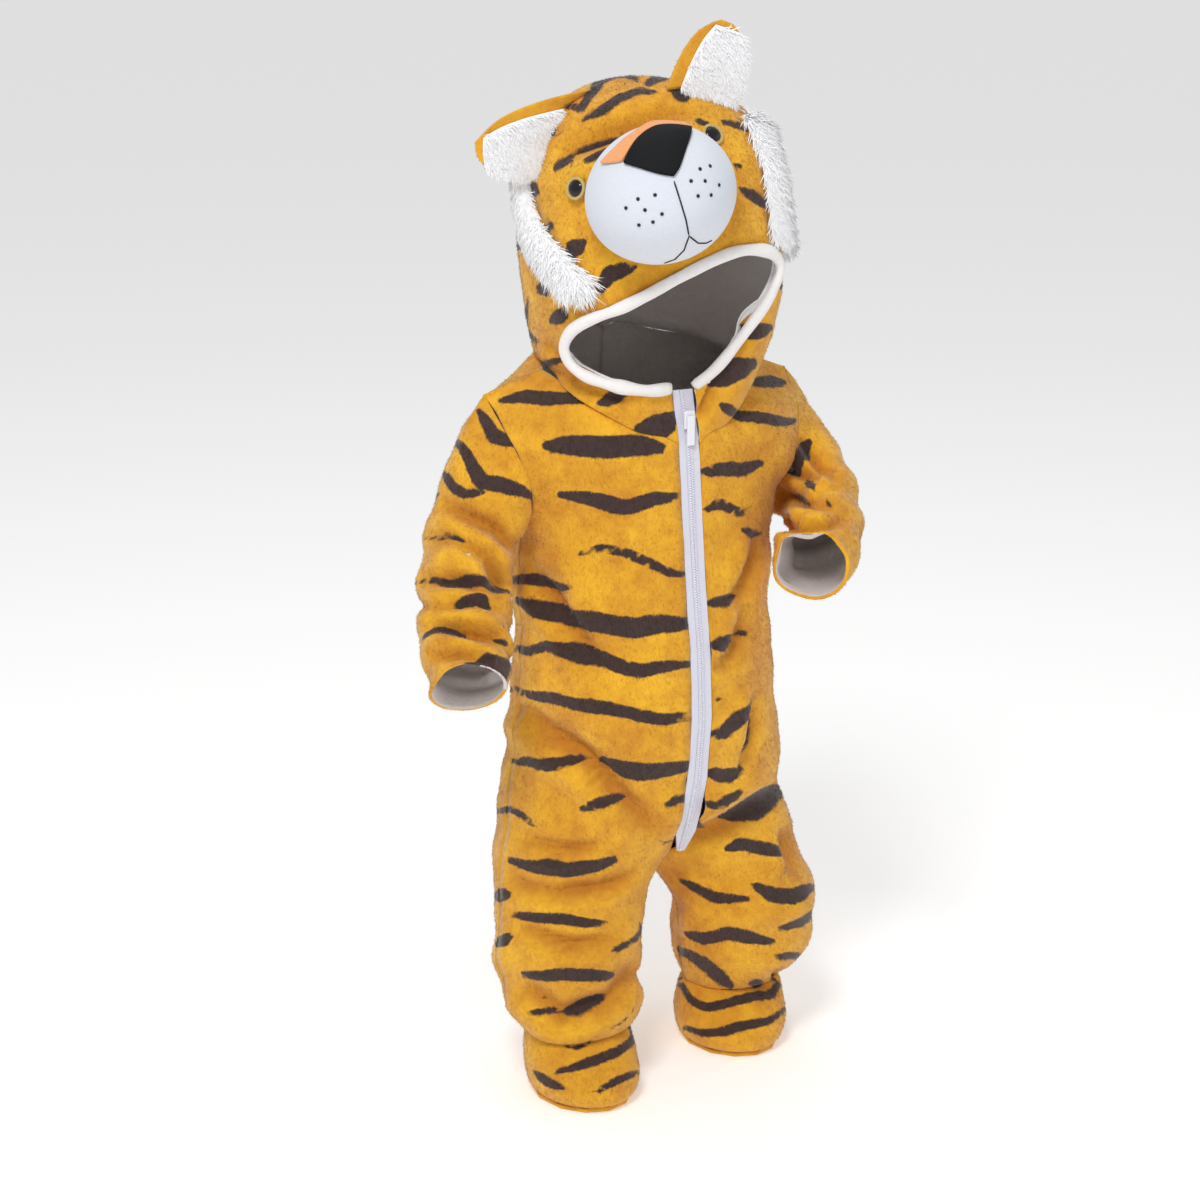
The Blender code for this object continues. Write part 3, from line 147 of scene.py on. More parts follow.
SLEEVE_LEFT_FOLDS = (
    (5, ((136, 117), (152, 101), (173, 95))), (5, ((133, 86), (152, 78), (183, 74))),
    (5, ((129, 66), (148, 58), (165, 58), (195, 64))), (4, ((156, 125), (168, 108), (186, 94))),
)
HOOD_FOLDS = (
    (7, ((-34, 346), (5, 363), (44, 378), (74, 384))), (5, ((-55, 187), (-16, 168), (20, 156))),
    (4, ((-43, 199), (-20, 178), (16, 168))), (4, ((98, 187), (87, 164), (78, 140))),
    (4, ((122, 234), (111, 203), (95, 178))),
)

# Middle of the head inside the hood, and the lines down the middle of each sleeve in millimetres
HOOD_CENTRE = np.array((3, -6, 668 - 548)) * MM
SLEEVE_LINES = {
    "right": ((-113, -2, 498), (-133, -1, 472), (-148, -8, 437), (-163, -26, 399),
              (-175, -52, 368), (-184, -78, 346)),
    "left": ((117, -2, 492), (130, -5, 473), (136, -22, 456), (131, -49, 443),
             (117, -76, 431), (99, -100, 421), (81, -121, 413)),
}
# Below this height the hood is a collar whose cloth stands upright
COLLAR_LOW = 0.575
COLLAR_RISE = 0.07
# Middle line of the suit: one above this height over the floor, and one in each leg below it
SUIT_DEPTH = -0.015
LEG_DEPTH = -0.02
LEG_SIDE = 0.081
LEG_TOP = 0.13
LEG_BLEND = 0.06

# Whisker dots and mouth lines, by place in a 1200 by 1200 picture of the front quarter view
WHISKERS = ((638, 199), (655, 195), (626, 208), (645, 210), (662, 214), (639, 225), (653, 222),
            (700, 169), (710, 166), (691, 181), (705, 181), (719, 185), (698, 196), (711, 195))
MOUTH = (
    ((674, 181), (680, 200), (686, 220), (689, 236)),
    ((689, 236), (684, 250), (675, 259), (664, 263)),
    ((689, 236), (698, 243), (706, 243), (712, 240)),
)
VIEW_PIXEL = 0.78
VIEW_MIDDLE = 600
THREAD_RADIUS = 0.6 * MM
THREAD_LIFT = 0.15 * MM
THREAD_SIDES = 6
THREAD_STEPS = 6
DOT_RADIUS = 1.35 * MM
DOT_LIFT = 0.2 * MM
DOT_FLATNESS = 0.6

# Stripes: width against the table's, and the share of it that is left at the ends
STRIPE_SCALE = 1.45
STRIPE_END = 0.34
FAR_OUTSIDE = -30.0
NO_STRIPE = -20.0
# Lumps, seed and strength across and up of the stripes' uneven course
STRIPE_WARP = (0.05, 3, (1.2, 1.8))
# The hidden left side takes the right side's stripes, set lower and faded in over these depths
HIDDEN_SHIFT = np.array((0.0, 0.0, 0.016))
HIDDEN_FADE = 14
HIDDEN_SUIT_FROM = -0.015
HIDDEN_SUIT_BLEND = 0.025
HIDDEN_HOOD_FROM = 0.01
HIDDEN_HOOD_BLEND = 0.03

# Creases: strength, spread for each millimetre of depth, and the place, width and height of the
# roll beside the trough against the trough's own
CREASE_SCALE = 2.1
CREASE_SPREAD = 1.15
ROLL_PLACE = 1.9
ROLL_WIDTH = 1.4
ROLL_HEIGHT = 0.45
TROUGH_DEPTH = 0.85
# Soft wrinkles: size and seed of the even ones, and of those that run mostly across
WRINKLE_EVEN = (0.055, 11)
WRINKLE_ACROSS = (0.045, 12)
WRINKLE_ACROSS_SHARE = 1.3
WRINKLE_STRETCH = np.array((0.6, 0.6, 1.5))
# Height of the wrinkles on each kind of piece
SUIT_WRINKLE = 1.1 * MM
SLEEVE_WRINKLE = 0.9 * MM
HOOD_WRINKLE = 0.7 * MM
FOOT_WRINKLE = 0.5 * MM
# Painted shade: a trough this deep is darkened in full
FOLD_SHADE_DEPTH = 7 * MM
# Share of each fold that the hood keeps where it faces away, and how fast it fades on the way
HOOD_BACK_SHARE = 0.2
HOOD_TURN = 0.35
# How near the face opening an edge turns white, and over what depth inside the hood the lining's
# painted shade comes in
EDGE_REACH = 6 * MM
LINING_SHADE_FADE = 110 * MM
# How much fuller the soft turned edge is than its solid, with its unevenness, lumps and seed
ROLL_SWELL = 2.3 * MM
ROLL_UNEVEN = (0.35, 0.03, 51)

# Strands: how far their shading follows their own lean instead of the cloth under them, the depth
# of their roots, and how much their way, lean and length vary
OWN_SHADE = 0.3
ROOT_DEPTH = 0.3 * MM
STRAND_SIDES = 3
STRAND_STRAY = 0.35
LEAN_STRAY = 9
STRAND_SHORT = 0.65
STRAND_LONG = 1.2
# How the plush was stroked: size and seed of the turns, its way down and how it turns
STROKE_LUMPS = (0.09, 21)
STROKE_DOWN = np.array((0.0, -0.1, -1.0))
STROKE_TURN = np.array((0.7, 0.2, 0.1))
NAP_LENGTH = 2.5 * MM
NAP_WIDTH = 0.6 * MM
NAP_LEAN = 62
# Strands on each piece
PANEL_NAP = 18000
SLEEVE_NAP = 11000
HOOD_SIDE_NAP = 9000
HOOD_FACE_NAP = 10000
FOOT_NAP = 5000
EAR_NAP = 1500
# The way that each ear's white inner side faces; the far band shows its front and outer side
EAR_FACING = {"right": (-0.05, -1.0, 0.0), "left": (-0.28, -0.93, -0.07)}
BAND_FACING = (0.5, -0.86, 0.0)
# Height from which the near band's fur gets shorter, and over what rise
BAND_LOW = 0.075
BAND_RISE = 0.05
BAND_LONG = 19 * MM
BAND_SHORTENED = 12 * MM
LONG_FUR_WIDTH = 1.2 * MM
LONG_FUR_CURL = 0.25
# Long fur: strands, length, way that it lies, lean from upright and seed
LONG_FUR = {
    "fur_band_right": (5000, None, (0.35, -0.2, -1), 66, 31),
    "fur_band_left": (6000, 11 * MM, (0.25, -0.3, -1), 56, 32),
    "ear_inner_right": (3000, 7 * MM, (0.5, -0.2, -1), 58, 33),
    "ear_inner_left": (3000, 7 * MM, (0.4, -0.2, -1), 58, 34),
}

# Zip teeth: pitch of each row, distance from the middle, half sizes, seat in the chain and tilt
TOOTH_STEP = 1.9 * MM
TOOTH_OUT = 0.95 * MM
TOOTH_HALF = (1.25 * MM, 0.7 * MM, 0.62 * MM)
TOOTH_SEAT = 0.3 * MM
TOOTH_TILT = 0.35
SLIDER_ROUND = 1.2 * MM
TAB_ROUND = 0.7 * MM

# Studio: reach and glow of the floor, strength of the surroundings, and lights by name, place,
# size and power
FLOOR_REACH = 40
FLOOR_GAP = 0.5 * MM
FLOOR_GLOW = 0.3
WORLD_STRENGTH = 0.46
LIGHTS = (
    ("key", (-1.25, -1.35, 2.0), 0.7, 36),
    ("fill", (1.8, -1.2, 0.7), 1.6, 3),
    ("top", (0.3, 0.7, 2.1), 1.2, 8),
)
LIGHT_AIM = Vector((0, 0, -0.15))

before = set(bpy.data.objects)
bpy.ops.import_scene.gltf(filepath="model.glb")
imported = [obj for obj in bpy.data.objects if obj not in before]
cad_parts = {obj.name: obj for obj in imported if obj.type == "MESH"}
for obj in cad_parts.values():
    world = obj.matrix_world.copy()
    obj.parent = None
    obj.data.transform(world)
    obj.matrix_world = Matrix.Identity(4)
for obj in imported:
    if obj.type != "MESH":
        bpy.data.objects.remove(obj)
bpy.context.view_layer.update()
roll_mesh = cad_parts["opening_roll"].data
ROLL_TREE = BVHTree.FromPolygons([vertex.co for vertex in roll_mesh.vertices],
                                 [polygon.vertices for polygon in roll_mesh.polygons])
# Outer face of each piece dressed so far: a search tree of its points, and their heights
OUTER_FACES = {}


def view_axes():
    """Right, back and up directions of the front quarter view, and its aim."""
    right = np.array((math.cos(VIEW_TURN), math.sin(VIEW_TURN), 0))
    back = np.array((math.sin(VIEW_TURN) * math.cos(VIEW_RISE),
                     -math.cos(VIEW_TURN) * math.cos(VIEW_RISE),
                     math.sin(VIEW_RISE)))
    up = np.cross(right, -back)
    aim = right * VIEW_AIM_SIDE + np.array((0, 0, VIEW_AIM_HEIGHT))
    return right, back, up, aim


VIEW_RIGHT, VIEW_BACK, VIEW_UP, VIEW_AIM = view_axes()


def unit(ways):
    """Ways brought to length one."""
    return ways / np.maximum(np.linalg.norm(ways, axis=1, keepdims=True), 1e-9)


def seen_places(points):
    """Where points lie in the front quarter view, in millimetres across and up."""
    arm = points - VIEW_AIM
    scale = VIEW_DISTANCE / (VIEW_DISTANCE - arm @ VIEW_BACK)
    return np.stack((arm @ VIEW_RIGHT * scale, arm @ VIEW_UP * scale), axis=1) / MM


def distance_to_lines(places, lines):
    """For each line: the distance of every place to it, and how far along the nearest point is."""
    for size, line in lines:
        line = np.array(line, float)
        lengths = np.linalg.norm(np.diff(line, axis=0), axis=1)
        total, run = lengths.sum(), 0.0
        best = np.full(len(places), 1e9)
        along = np.zeros(len(places))
        side = np.zeros(len(places))
        for start, end, length in zip(line[:-1], line[1:], lengths):
            way = (end - start) / length
            arm = places - start
            share = np.clip(arm @ way, 0, length)
            gap = arm - share[:, None] * way
            distance = np.linalg.norm(gap, axis=1)
            closer = distance < best
            best[closer] = distance[closer]
            along[closer] = (run + share[closer]) / total
            side[closer] = np.sign(gap[closer, 0] * way[1] - gap[closer, 1] * way[0])
            run += length
        yield size, best, along, side


def stripe_values(places, stripes):
    """How far inside the nearest stripe each place is, in millimetres; below zero outside."""
    value = np.full(len(places), FAR_OUTSIDE)
    for width, distance, along, _ in distance_to_lines(places, stripes):
        middle = np.sin(np.clip(along, 0.02, 0.98) * math.pi) ** 0.5
        taper = STRIPE_END + (1 - STRIPE_END) * middle
        value = np.maximum(value, STRIPE_SCALE * width / 2 * taper - distance)
    return value


def hidden_stripes(points, stripes, fade):
    """The right side's stripes on the hidden left side, set a little lower."""
    mirrored = points * (-1, 1, 1) + HIDDEN_SHIFT
    return stripe_values(seen_places(mirrored), stripes) - HIDDEN_FADE * np.clip(fade, 0, 1)


def crease_heights(places, creases):
    """How far creases and the rolls beside them move the cloth out, in metres."""
    height = np.zeros(len(places))
    for depth, distance, along, side in distance_to_lines(places, creases):
        taper = np.sin(np.clip(along, 0.0, 1.0) * math.pi) ** 0.5
        spread = distance / (depth * CREASE_SPREAD)
        roll = np.exp(-(side * spread - ROLL_PLACE) ** 2 / ROLL_WIDTH)
        trough = np.exp(-spread ** 2)
        height += taper * (ROLL_HEIGHT * depth * roll - TROUGH_DEPTH * depth * trough) * MM
    return height * CREASE_SCALE


def outward_ways(points, kind, side):
    """The way out of the tube of cloth that each point belongs to."""
    if kind == "hood":
        arms = points - HOOD_CENTRE
        level = np.clip((points[:, 2] + HOLD_HEIGHT - COLLAR_LOW) / COLLAR_RISE, 0, 1)
        arms[:, 2] = np.where(arms[:, 2] < 0, arms[:, 2] * level, arms[:, 2])
    elif kind == "sleeve":
        line = (np.array(SLEEVE_LINES[side], float) - (0, 0, HOLD_HEIGHT / MM)) * MM
        best = np.full(len(points), 1e9)
        arms = np.zeros_like(points)
        for start, end in zip(line[:-1], line[1:]):
            way = end - start
            share = np.clip((points - start) @ way / (way @ way), 0, 1)
            gap = points - start - share[:, None] * way
            distance = np.linalg.norm(gap, axis=1)
            closer = distance < best
            best[closer] = distance[closer]
            arms[closer] = gap[closer]
    else:
        sign = 1 if side == "left" else -1
        leg = 1 - np.clip((points[:, 2] + HOLD_HEIGHT - LEG_TOP) / LEG_BLEND, 0, 1)
        middle = np.stack((sign * LEG_SIDE * leg, SUIT_DEPTH + LEG_DEPTH * leg, points[:, 2]), axis=1)
        arms = points - middle
    return unit(arms)


def smooth_copy(node, levels, crease_angle=50):
    """A finer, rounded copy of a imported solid, still closed."""
    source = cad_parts[node]
    work = bmesh.new()
    work.from_mesh(source.data)
    work.transform(source.matrix_world)
    bmesh.ops.remove_doubles(work, verts=work.verts, dist=0.02 * MM)
    bmesh.ops.join_triangles(work, faces=work.faces, cmp_seam=False, cmp_sharp=False, cmp_uvs=False,
                             cmp_vcols=False, cmp_materials=False, angle_face_threshold=0.6,
                             angle_shape_threshold=1.2)
    layer = work.edges.layers.float.new("crease_edge")
    for edge in work.edges:
        if len(edge.link_faces) == 2 and edge.calc_face_angle(0.0) > math.radians(crease_angle):
            edge[layer] = 1.0
    mesh = bpy.data.meshes.new(node + "_look")
    work.to_mesh(mesh)
    work.free()
    shape = bpy.data.objects.new(node + "_look", mesh)
    bpy.context.collection.objects.link(shape)
    if levels:
        modifier = shape.modifiers.new("round", "SUBSURF")
        modifier.levels = levels
        modifier.render_levels = levels
        graph = bpy.context.evaluated_depsgraph_get()
        shape_mesh = bpy.data.meshes.new_from_object(shape.evaluated_get(graph))
        shape.modifiers.clear()
        shape.data = shape_mesh
        bpy.data.meshes.remove(mesh)
    shape.data.materials.clear()
    shape.data.shade_smooth()
    shape.data.set_sharp_from_angle(angle=math.radians(60))
    return shape


def points_of(mesh):
    flat = np.empty(len(mesh.vertices) * 3)
    mesh.vertices.foreach_get("co", flat)
    return flat.reshape(-1, 3)


def set_points(mesh, points):
    mesh.vertices.foreach_set("co", points.ravel())
    mesh.update()


def set_values(mesh, name, values):
    layer = mesh.attributes.new(name, "FLOAT", "POINT")
    layer.data.foreach_set("value", np.asarray(values, np.float32))


def noise_at(points, size, seed):
    """Smooth unevenness from -1 to 1 with lumps of about one size."""
    local = np.random.default_rng(seed)
    total = np.zeros(len(points))
    for _ in range(7):
        way = local.normal(size=3)
        way /= np.linalg.norm(way)
        pace = math.tau / size
        total += np.sin(points @ way * pace * local.uniform(0.7, 1.4) + local.uniform(0, math.tau))
    return total / 4


def cloth_faces(mesh, points, ways):
    """Corner indices of the triangles on the outer face, and their areas."""
    mesh.calc_loop_triangles()
    corners = np.empty(len(mesh.loop_triangles) * 3, int)
    mesh.loop_triangles.foreach_get("vertices", corners)
    corners = corners.reshape(-1, 3)
    a, b, c = (points[corners[:, index]] for index in range(3))
    cross = np.cross(b - a, c - a)
    areas = np.linalg.norm(cross, axis=1) / 2
    normals = cross / np.maximum(areas[:, None] * 2, 1e-12)
    out = (normals * ways[corners[:, 0]]).sum(axis=1) > 0.15
    return corners[out], areas[out]


def strand_roots(mesh, ways, count, local):
    """Scattered places on the outer face: corners, shares of them, points and rounded ways out."""
    points = points_of(mesh)
    corners, areas = cloth_faces(mesh, points, ways)
    chosen = local.choice(len(corners), size=count, p=areas / areas.sum())
    mix = local.random((count, 2))
    flip = mix.sum(axis=1) > 1
    mix[flip] = 1 - mix[flip]
    shares = np.stack((1 - mix.sum(axis=1), mix[:, 0], mix[:, 1]), axis=1)
    here = corners[chosen]
    roots = (points[here] * shares[:, :, None]).sum(axis=1)
    rounded = np.empty(len(points) * 3, np.float32)
    mesh.vertex_normals.foreach_get("vector", rounded)
    out = (rounded.reshape(-1, 3)[here] * shares[:, :, None]).sum(axis=1)
    return here, shares, roots, unit(out)


def strand_faces(number, levels):
    """Faces of closed spikes: rings from the root up, the tip and the foot."""
    rows = levels * STRAND_SIDES + 1
    pattern = []
    for level in range(levels - 1):
        for step in range(STRAND_SIDES):
            following = (step + 1) % STRAND_SIDES
            low, high = level * STRAND_SIDES, (level + 1) * STRAND_SIDES
            pattern.append((low + step, low + following, high + following))
            pattern.append((low + step, high + following, high + step))
    last = (levels - 1) * STRAND_SIDES
    for step in range(STRAND_SIDES):
        pattern.append((last + step, last + (step + 1) % STRAND_SIDES, rows - 1))
    pattern.append(tuple(range(STRAND_SIDES))[::-1])
    return (np.array(pattern)[None] + (np.arange(number) * rows)[:, None, None]).reshape(-1, 3)


def hair(name, mesh, ways, count, length, width, lean, lie, material, seed, curl=0.0):
    """Pointed strands of fur over a piece's outer face; each is a closed three-sided spike."""
    local = np.random.default_rng(seed)
    here, shares, roots, out = strand_roots(mesh, ways, count, local)
    flow = lie(roots) if callable(lie) else np.tile(np.array(lie, float), (count, 1))
    flow = flow + local.normal(scale=STRAND_STRAY, size=(count, 3))
    flow -= out * (flow * out).sum(axis=1, keepdims=True)
    flow = unit(flow)
    tilt = np.radians(local.normal(lean, LEAN_STRAY, count))[:, None]
    way = out * np.cos(tilt) + flow * np.sin(tilt)
    across = unit(np.cross(way, out))
    other = np.cross(way, across)
    reach = length(roots) if callable(length) else length
    long = (reach * local.uniform(STRAND_SHORT, STRAND_LONG, count))[:, None]
    half = width / 2
    root = roots - out * ROOT_DEPTH
    turn = local.uniform(0, math.tau, count)[:, None]
    middle = root + way * long * 0.5 + flow * long * curl * 0.5
    tip = root + way * long + flow * long * curl
    tip -= out * long * curl * 0.6
    levels = ((root, half), (middle, half * 0.8)) if curl else ((root, half),)
    rings = []
    for centre, size in levels:
        for step in range(STRAND_SIDES):
            angle = turn + math.tau * step / STRAND_SIDES
            rings.append(centre + (across * np.cos(angle) + other * np.sin(angle)) * size)
    rings.append(tip)
    rows = len(rings)
    vertices = np.stack(rings, axis=1).reshape(-1, 3)
    made = bpy.data.meshes.new(name)
    made.from_pydata(vertices.tolist(), [], strand_faces(count, len(levels)).tolist())
    made.shade_smooth()
    soft = unit(out * (1 - OWN_SHADE) + way * OWN_SHADE)
    made.normals_split_custom_set_from_vertices(np.repeat(soft, rows, axis=0).tolist())
    # The stripes and the painted shade of the creases pass on to the strands
    for attribute in ("stripe", "fold"):
        if attribute in mesh.attributes:
            values = np.empty(len(mesh.vertices), np.float32)
            mesh.attributes[attribute].data.foreach_get("value", values)
            set_values(made, attribute, np.repeat((values[here] * shares).sum(axis=1), rows))
    tips = np.zeros((count, rows))
    tips[:, -1] = 1
    if curl:
        tips[:, STRAND_SIDES:2 * STRAND_SIDES] = 0.5
    set_values(made, "tip", tips.ravel())
    made.materials.append(material)
    shape = bpy.data.objects.new(name, made)
    bpy.context.collection.objects.link(shape)
    return shape


class Nodes:
    """Small helper that adds shader nodes and joins them."""

    def __init__(self, name):
        self.material = bpy.data.materials.new(name)
        self.material.use_nodes = True
        self.tree = self.material.node_tree
        self.shader = self.tree.nodes["Principled BSDF"]

    def add(self, kind, **values):
        node = self.tree.nodes.new(kind)
        for key, value in values.items():
            setattr(node, key, value)
        return node

    def link(self, a, b):
        self.tree.links.new(a, b)

    def maths(self, operation, a, b, clamp=False):
        node = self.add("ShaderNodeMath", operation=operation, use_clamp=clamp)
        for index, value in enumerate((a, b)):
            if isinstance(value, (int, float)):
                node.inputs[index].default_value = value
            else:
                self.link(value, node.inputs[index])
        return node.outputs[0]

    def mix(self, share, a, b):
        node = self.add("ShaderNodeMix", data_type="RGBA")
        for index, value in ((0, share), (6, a), (7, b)):
            if isinstance(value, (tuple, float, int)):
                node.inputs[index].default_value = value
            else:
                self.link(value, node.inputs[index])
        return node.outputs[2]

    def noise(self, scale, detail=2.0, roughness=0.5):
        place = self.add("ShaderNodeTexCoord").outputs["Object"]
        node = self.add("ShaderNodeTexNoise")
        node.inputs["Scale"].default_value = scale
        node.inputs["Detail"].default_value = detail
        node.inputs["Roughness"].default_value = roughness
        self.link(place, node.inputs["Vector"])
        return node.outputs["Fac"]

    def attribute(self, name):
        return self.add("ShaderNodeAttribute", attribute_name=name).outputs["Fac"]

    def bump(self, height, strength, distance):
        node = self.add("ShaderNodeBump")
        node.inputs["Strength"].default_value = strength
        node.inputs["Distance"].default_value = distance
        self.link(height, node.inputs["Height"])
        self.link(node.outputs["Normal"], self.shader.inputs["Normal"])


def colour(red, green, blue):
    """Linear colour from the everyday 0 to 255 values."""
    return tuple(((value / 255 + 0.055) / 1.055) ** 2.4 if value > 10 else value / 255 / 12.92
                 for value in (red, green, blue)) + (1.0,)


def plush_material(name, on_hair):
    """Golden plush with dark brown stripes whose edges are ragged like the nap."""
    made = Nodes(name)
    finer = made.maths("MULTIPLY", made.noise(95, 3, 0.6), 0.5)
    brushed = made.maths("ADD", made.noise(26, 4, 0.6), finer)
    patch = made.maths("MULTIPLY_ADD", brushed, 2.6)
    patch.node.inputs[2].default_value = -1.42
    patch.node.use_clamp = True
    gold = made.mix(patch, colour(252, 192, 34), colour(216, 146, 26))
    fine = made.maths("MULTIPLY", made.noise(330, 2), 0.34)
    gold = made.mix(fine, gold, colour(206, 134, 12))
    # Painted shade: the troughs of the creases darken towards deep amber
    gold = made.mix(made.maths("MULTIPLY", made.attribute("fold"), 0.7), gold, colour(186, 108, 8))
    ragged = made.maths("MULTIPLY", made.maths("SUBTRACT", made.noise(170, 3, 0.6), 0.5), 3.2)
    edge = made.maths("ADD", made.attribute("stripe"), ragged)
    share = made.maths("MULTIPLY", edge, 0.7, clamp=True)
    brown = made.mix(made.noise(240, 2), colour(42, 26, 24), colour(74, 50, 44))
    if on_hair:
        gold = made.mix(made.maths("MULTIPLY", made.attribute("tip"), 0.3), gold, colour(255, 206, 92))
    made.link(made.mix(share, gold, brown), made.shader.inputs["Base Color"])
    made.shader.inputs["Roughness"].default_value = 0.85
    made.shader.inputs["Sheen Weight"].default_value = 0.25
    made.shader.inputs["Sheen Roughness"].default_value = 0.5
    if not on_hair:
        made.bump(made.noise(700, 3), 0.4, 0.001)
    return made.material


def soft_material(name, near, far, scale, bump=0.5, sheen=0.3, rough=0.85, distance=0.001):
    """Plain cloth in two close tones with a fine nap."""
    made = Nodes(name)
    made.link(made.mix(made.noise(scale, 3), near, far), made.shader.inputs["Base Color"])
    made.shader.inputs["Roughness"].default_value = rough
    made.shader.inputs["Sheen Weight"].default_value = sheen
    made.bump(made.noise(scale * 2.2, 3), bump, distance)
    return made.material


def plain_material(name, base, rough, metallic=0.0):
    made = Nodes(name)
    made.shader.inputs["Base Color"].default_value = base
    made.shader.inputs["Roughness"].default_value = rough
    made.shader.inputs["Metallic"].default_value = metallic
    return made.material


PLUSH = plush_material("plush_cloth", False)
NAP = plush_material("plush_nap", True)
WHITE = soft_material("white_plush_cloth", colour(252, 252, 254), colour(244, 244, 248), 90)
WHITE_HAIR = soft_material("white_fur_strands", colour(255, 255, 255), colour(248, 248, 251), 60,
                           bump=0.0)
for pale in (WHITE, WHITE_HAIR):
    # Painted light: a faint glow brightens the white plush and fur where they would shade grey
    glowing_shader = pale.node_tree.nodes["Principled BSDF"]
    glowing_shader.inputs["Emission Color"].default_value = (0.97, 0.98, 1.0, 1)
    glowing_shader.inputs["Emission Strength"].default_value = 0.16
MUZZLE = soft_material("muzzle_plush", colour(226, 231, 240), colour(216, 221, 231), 420, bump=0.35,
                       sheen=0.1, distance=0.0006)
TURNED_EDGE = soft_material("turned_edge", colour(250, 247, 245), colour(238, 234, 232), 240, bump=0.4)


def lining_material():
    """Pale lining with painted light and shade: whiter by the face opening, as if lit, and greyer deep
    in the hood, as if in shade.
    """
    made = Nodes("hood_lining")
    near = made.mix(made.noise(240, 3), colour(252, 250, 250), colour(240, 236, 235))
    deep = made.mix(made.noise(200, 3), colour(232, 224, 220), colour(214, 204, 199))
    made.link(made.mix(made.attribute("deep"), near, deep), made.shader.inputs["Base Color"])
    made.shader.inputs["Roughness"].default_value = 0.9
    made.bump(made.noise(500, 3), 0.4, 0.001)
    return made.material


LINING = lining_material()
BLACK_CLOTH = soft_material("nose_cloth", colour(5, 6, 9), colour(12, 14, 18), 500, bump=0.4,
                            sheen=0.0, rough=0.7)
BLACK_CLOTH.node_tree.nodes["Principled BSDF"].inputs["Specular IOR Level"].default_value = 0.25
BLACK_SHINE = plain_material("eye_black", colour(20, 20, 24), 0.18)
RING = soft_material("eye_stitch", colour(214, 188, 118), colour(186, 156, 84), 900, bump=0.5)
PEACH = soft_material("bridge_plush", colour(249, 176, 115), colour(236, 150, 84), 300)
ZIP_TAPE = soft_material("zip_tape_weave", colour(232, 232, 244), colour(214, 214, 228), 1500,
                         bump=0.3, sheen=0.0)
ZIP_TEETH = plain_material("zip_teeth", colour(238, 238, 246), 0.35)
THREAD = plain_material("dark_thread", colour(26, 24, 28), 0.7)


def line_inside(mesh, ways):
    """Give a piece's inner face the pale lining, and its edge too by the face opening."""
    count = len(mesh.polygons)
    normals, centres = np.empty(count * 3), np.empty(count * 3)
    mesh.polygons.foreach_get("normal", normals)
    mesh.polygons.foreach_get("center", centres)
    normals, centres = normals.reshape(-1, 3), centres.reshape(-1, 3)
    first = np.array([polygon.vertices[0] for polygon in mesh.polygons])
    facing = (normals * ways[first]).sum(axis=1)
    white = facing < -0.25
    for index in np.nonzero((facing < 0.45) & ~white)[0]:
        found = ROLL_TREE.find_nearest(Vector(centres[index]), EDGE_REACH)
        white[index] = found[0] is not None
    mesh.materials.append(LINING)
    mesh.polygons.foreach_set("material_index", white.astype(np.int32))


def lining_shade_share(points):
    """Share of painted shade on the lining: 0 at the face opening's edge, 1 from a hand's breadth
    inside it.
    """
    gaps = [ROLL_TREE.find_nearest(Vector(point))[3] for point in points]
    return np.clip((np.array(gaps) - EDGE_REACH) / LINING_SHADE_FADE, 0, 1)


def follow_outer_face(node, mesh, points, ways, height):
    """Inner faces and linings take the folds of the outer cloth over them."""
    owner = node.replace("lining_face", "hood_face").replace("lining_", "hood_side_")
    if owner == node:
        normals = np.empty(len(points) * 3, np.float32)
        mesh.vertex_normals.foreach_get("vector", normals)
        outer = (normals.reshape(-1, 3) * ways).sum(axis=1) > -0.1
        tree = KDTree(int(outer.sum()))
        for number, index in enumerate(np.nonzero(outer)[0]):
            tree.insert(points[index], number)
        tree.balance()
        OUTER_FACES[node] = (tree, height[outer])
    else:
        outer = np.zeros(len(points), bool)
    tree, heights = OUTER_FACES[owner]
    height = height.copy()
    for index in np.nonzero(~outer)[0]:
        height[index] = heights[tree.find(points[index])[1]]
    return height


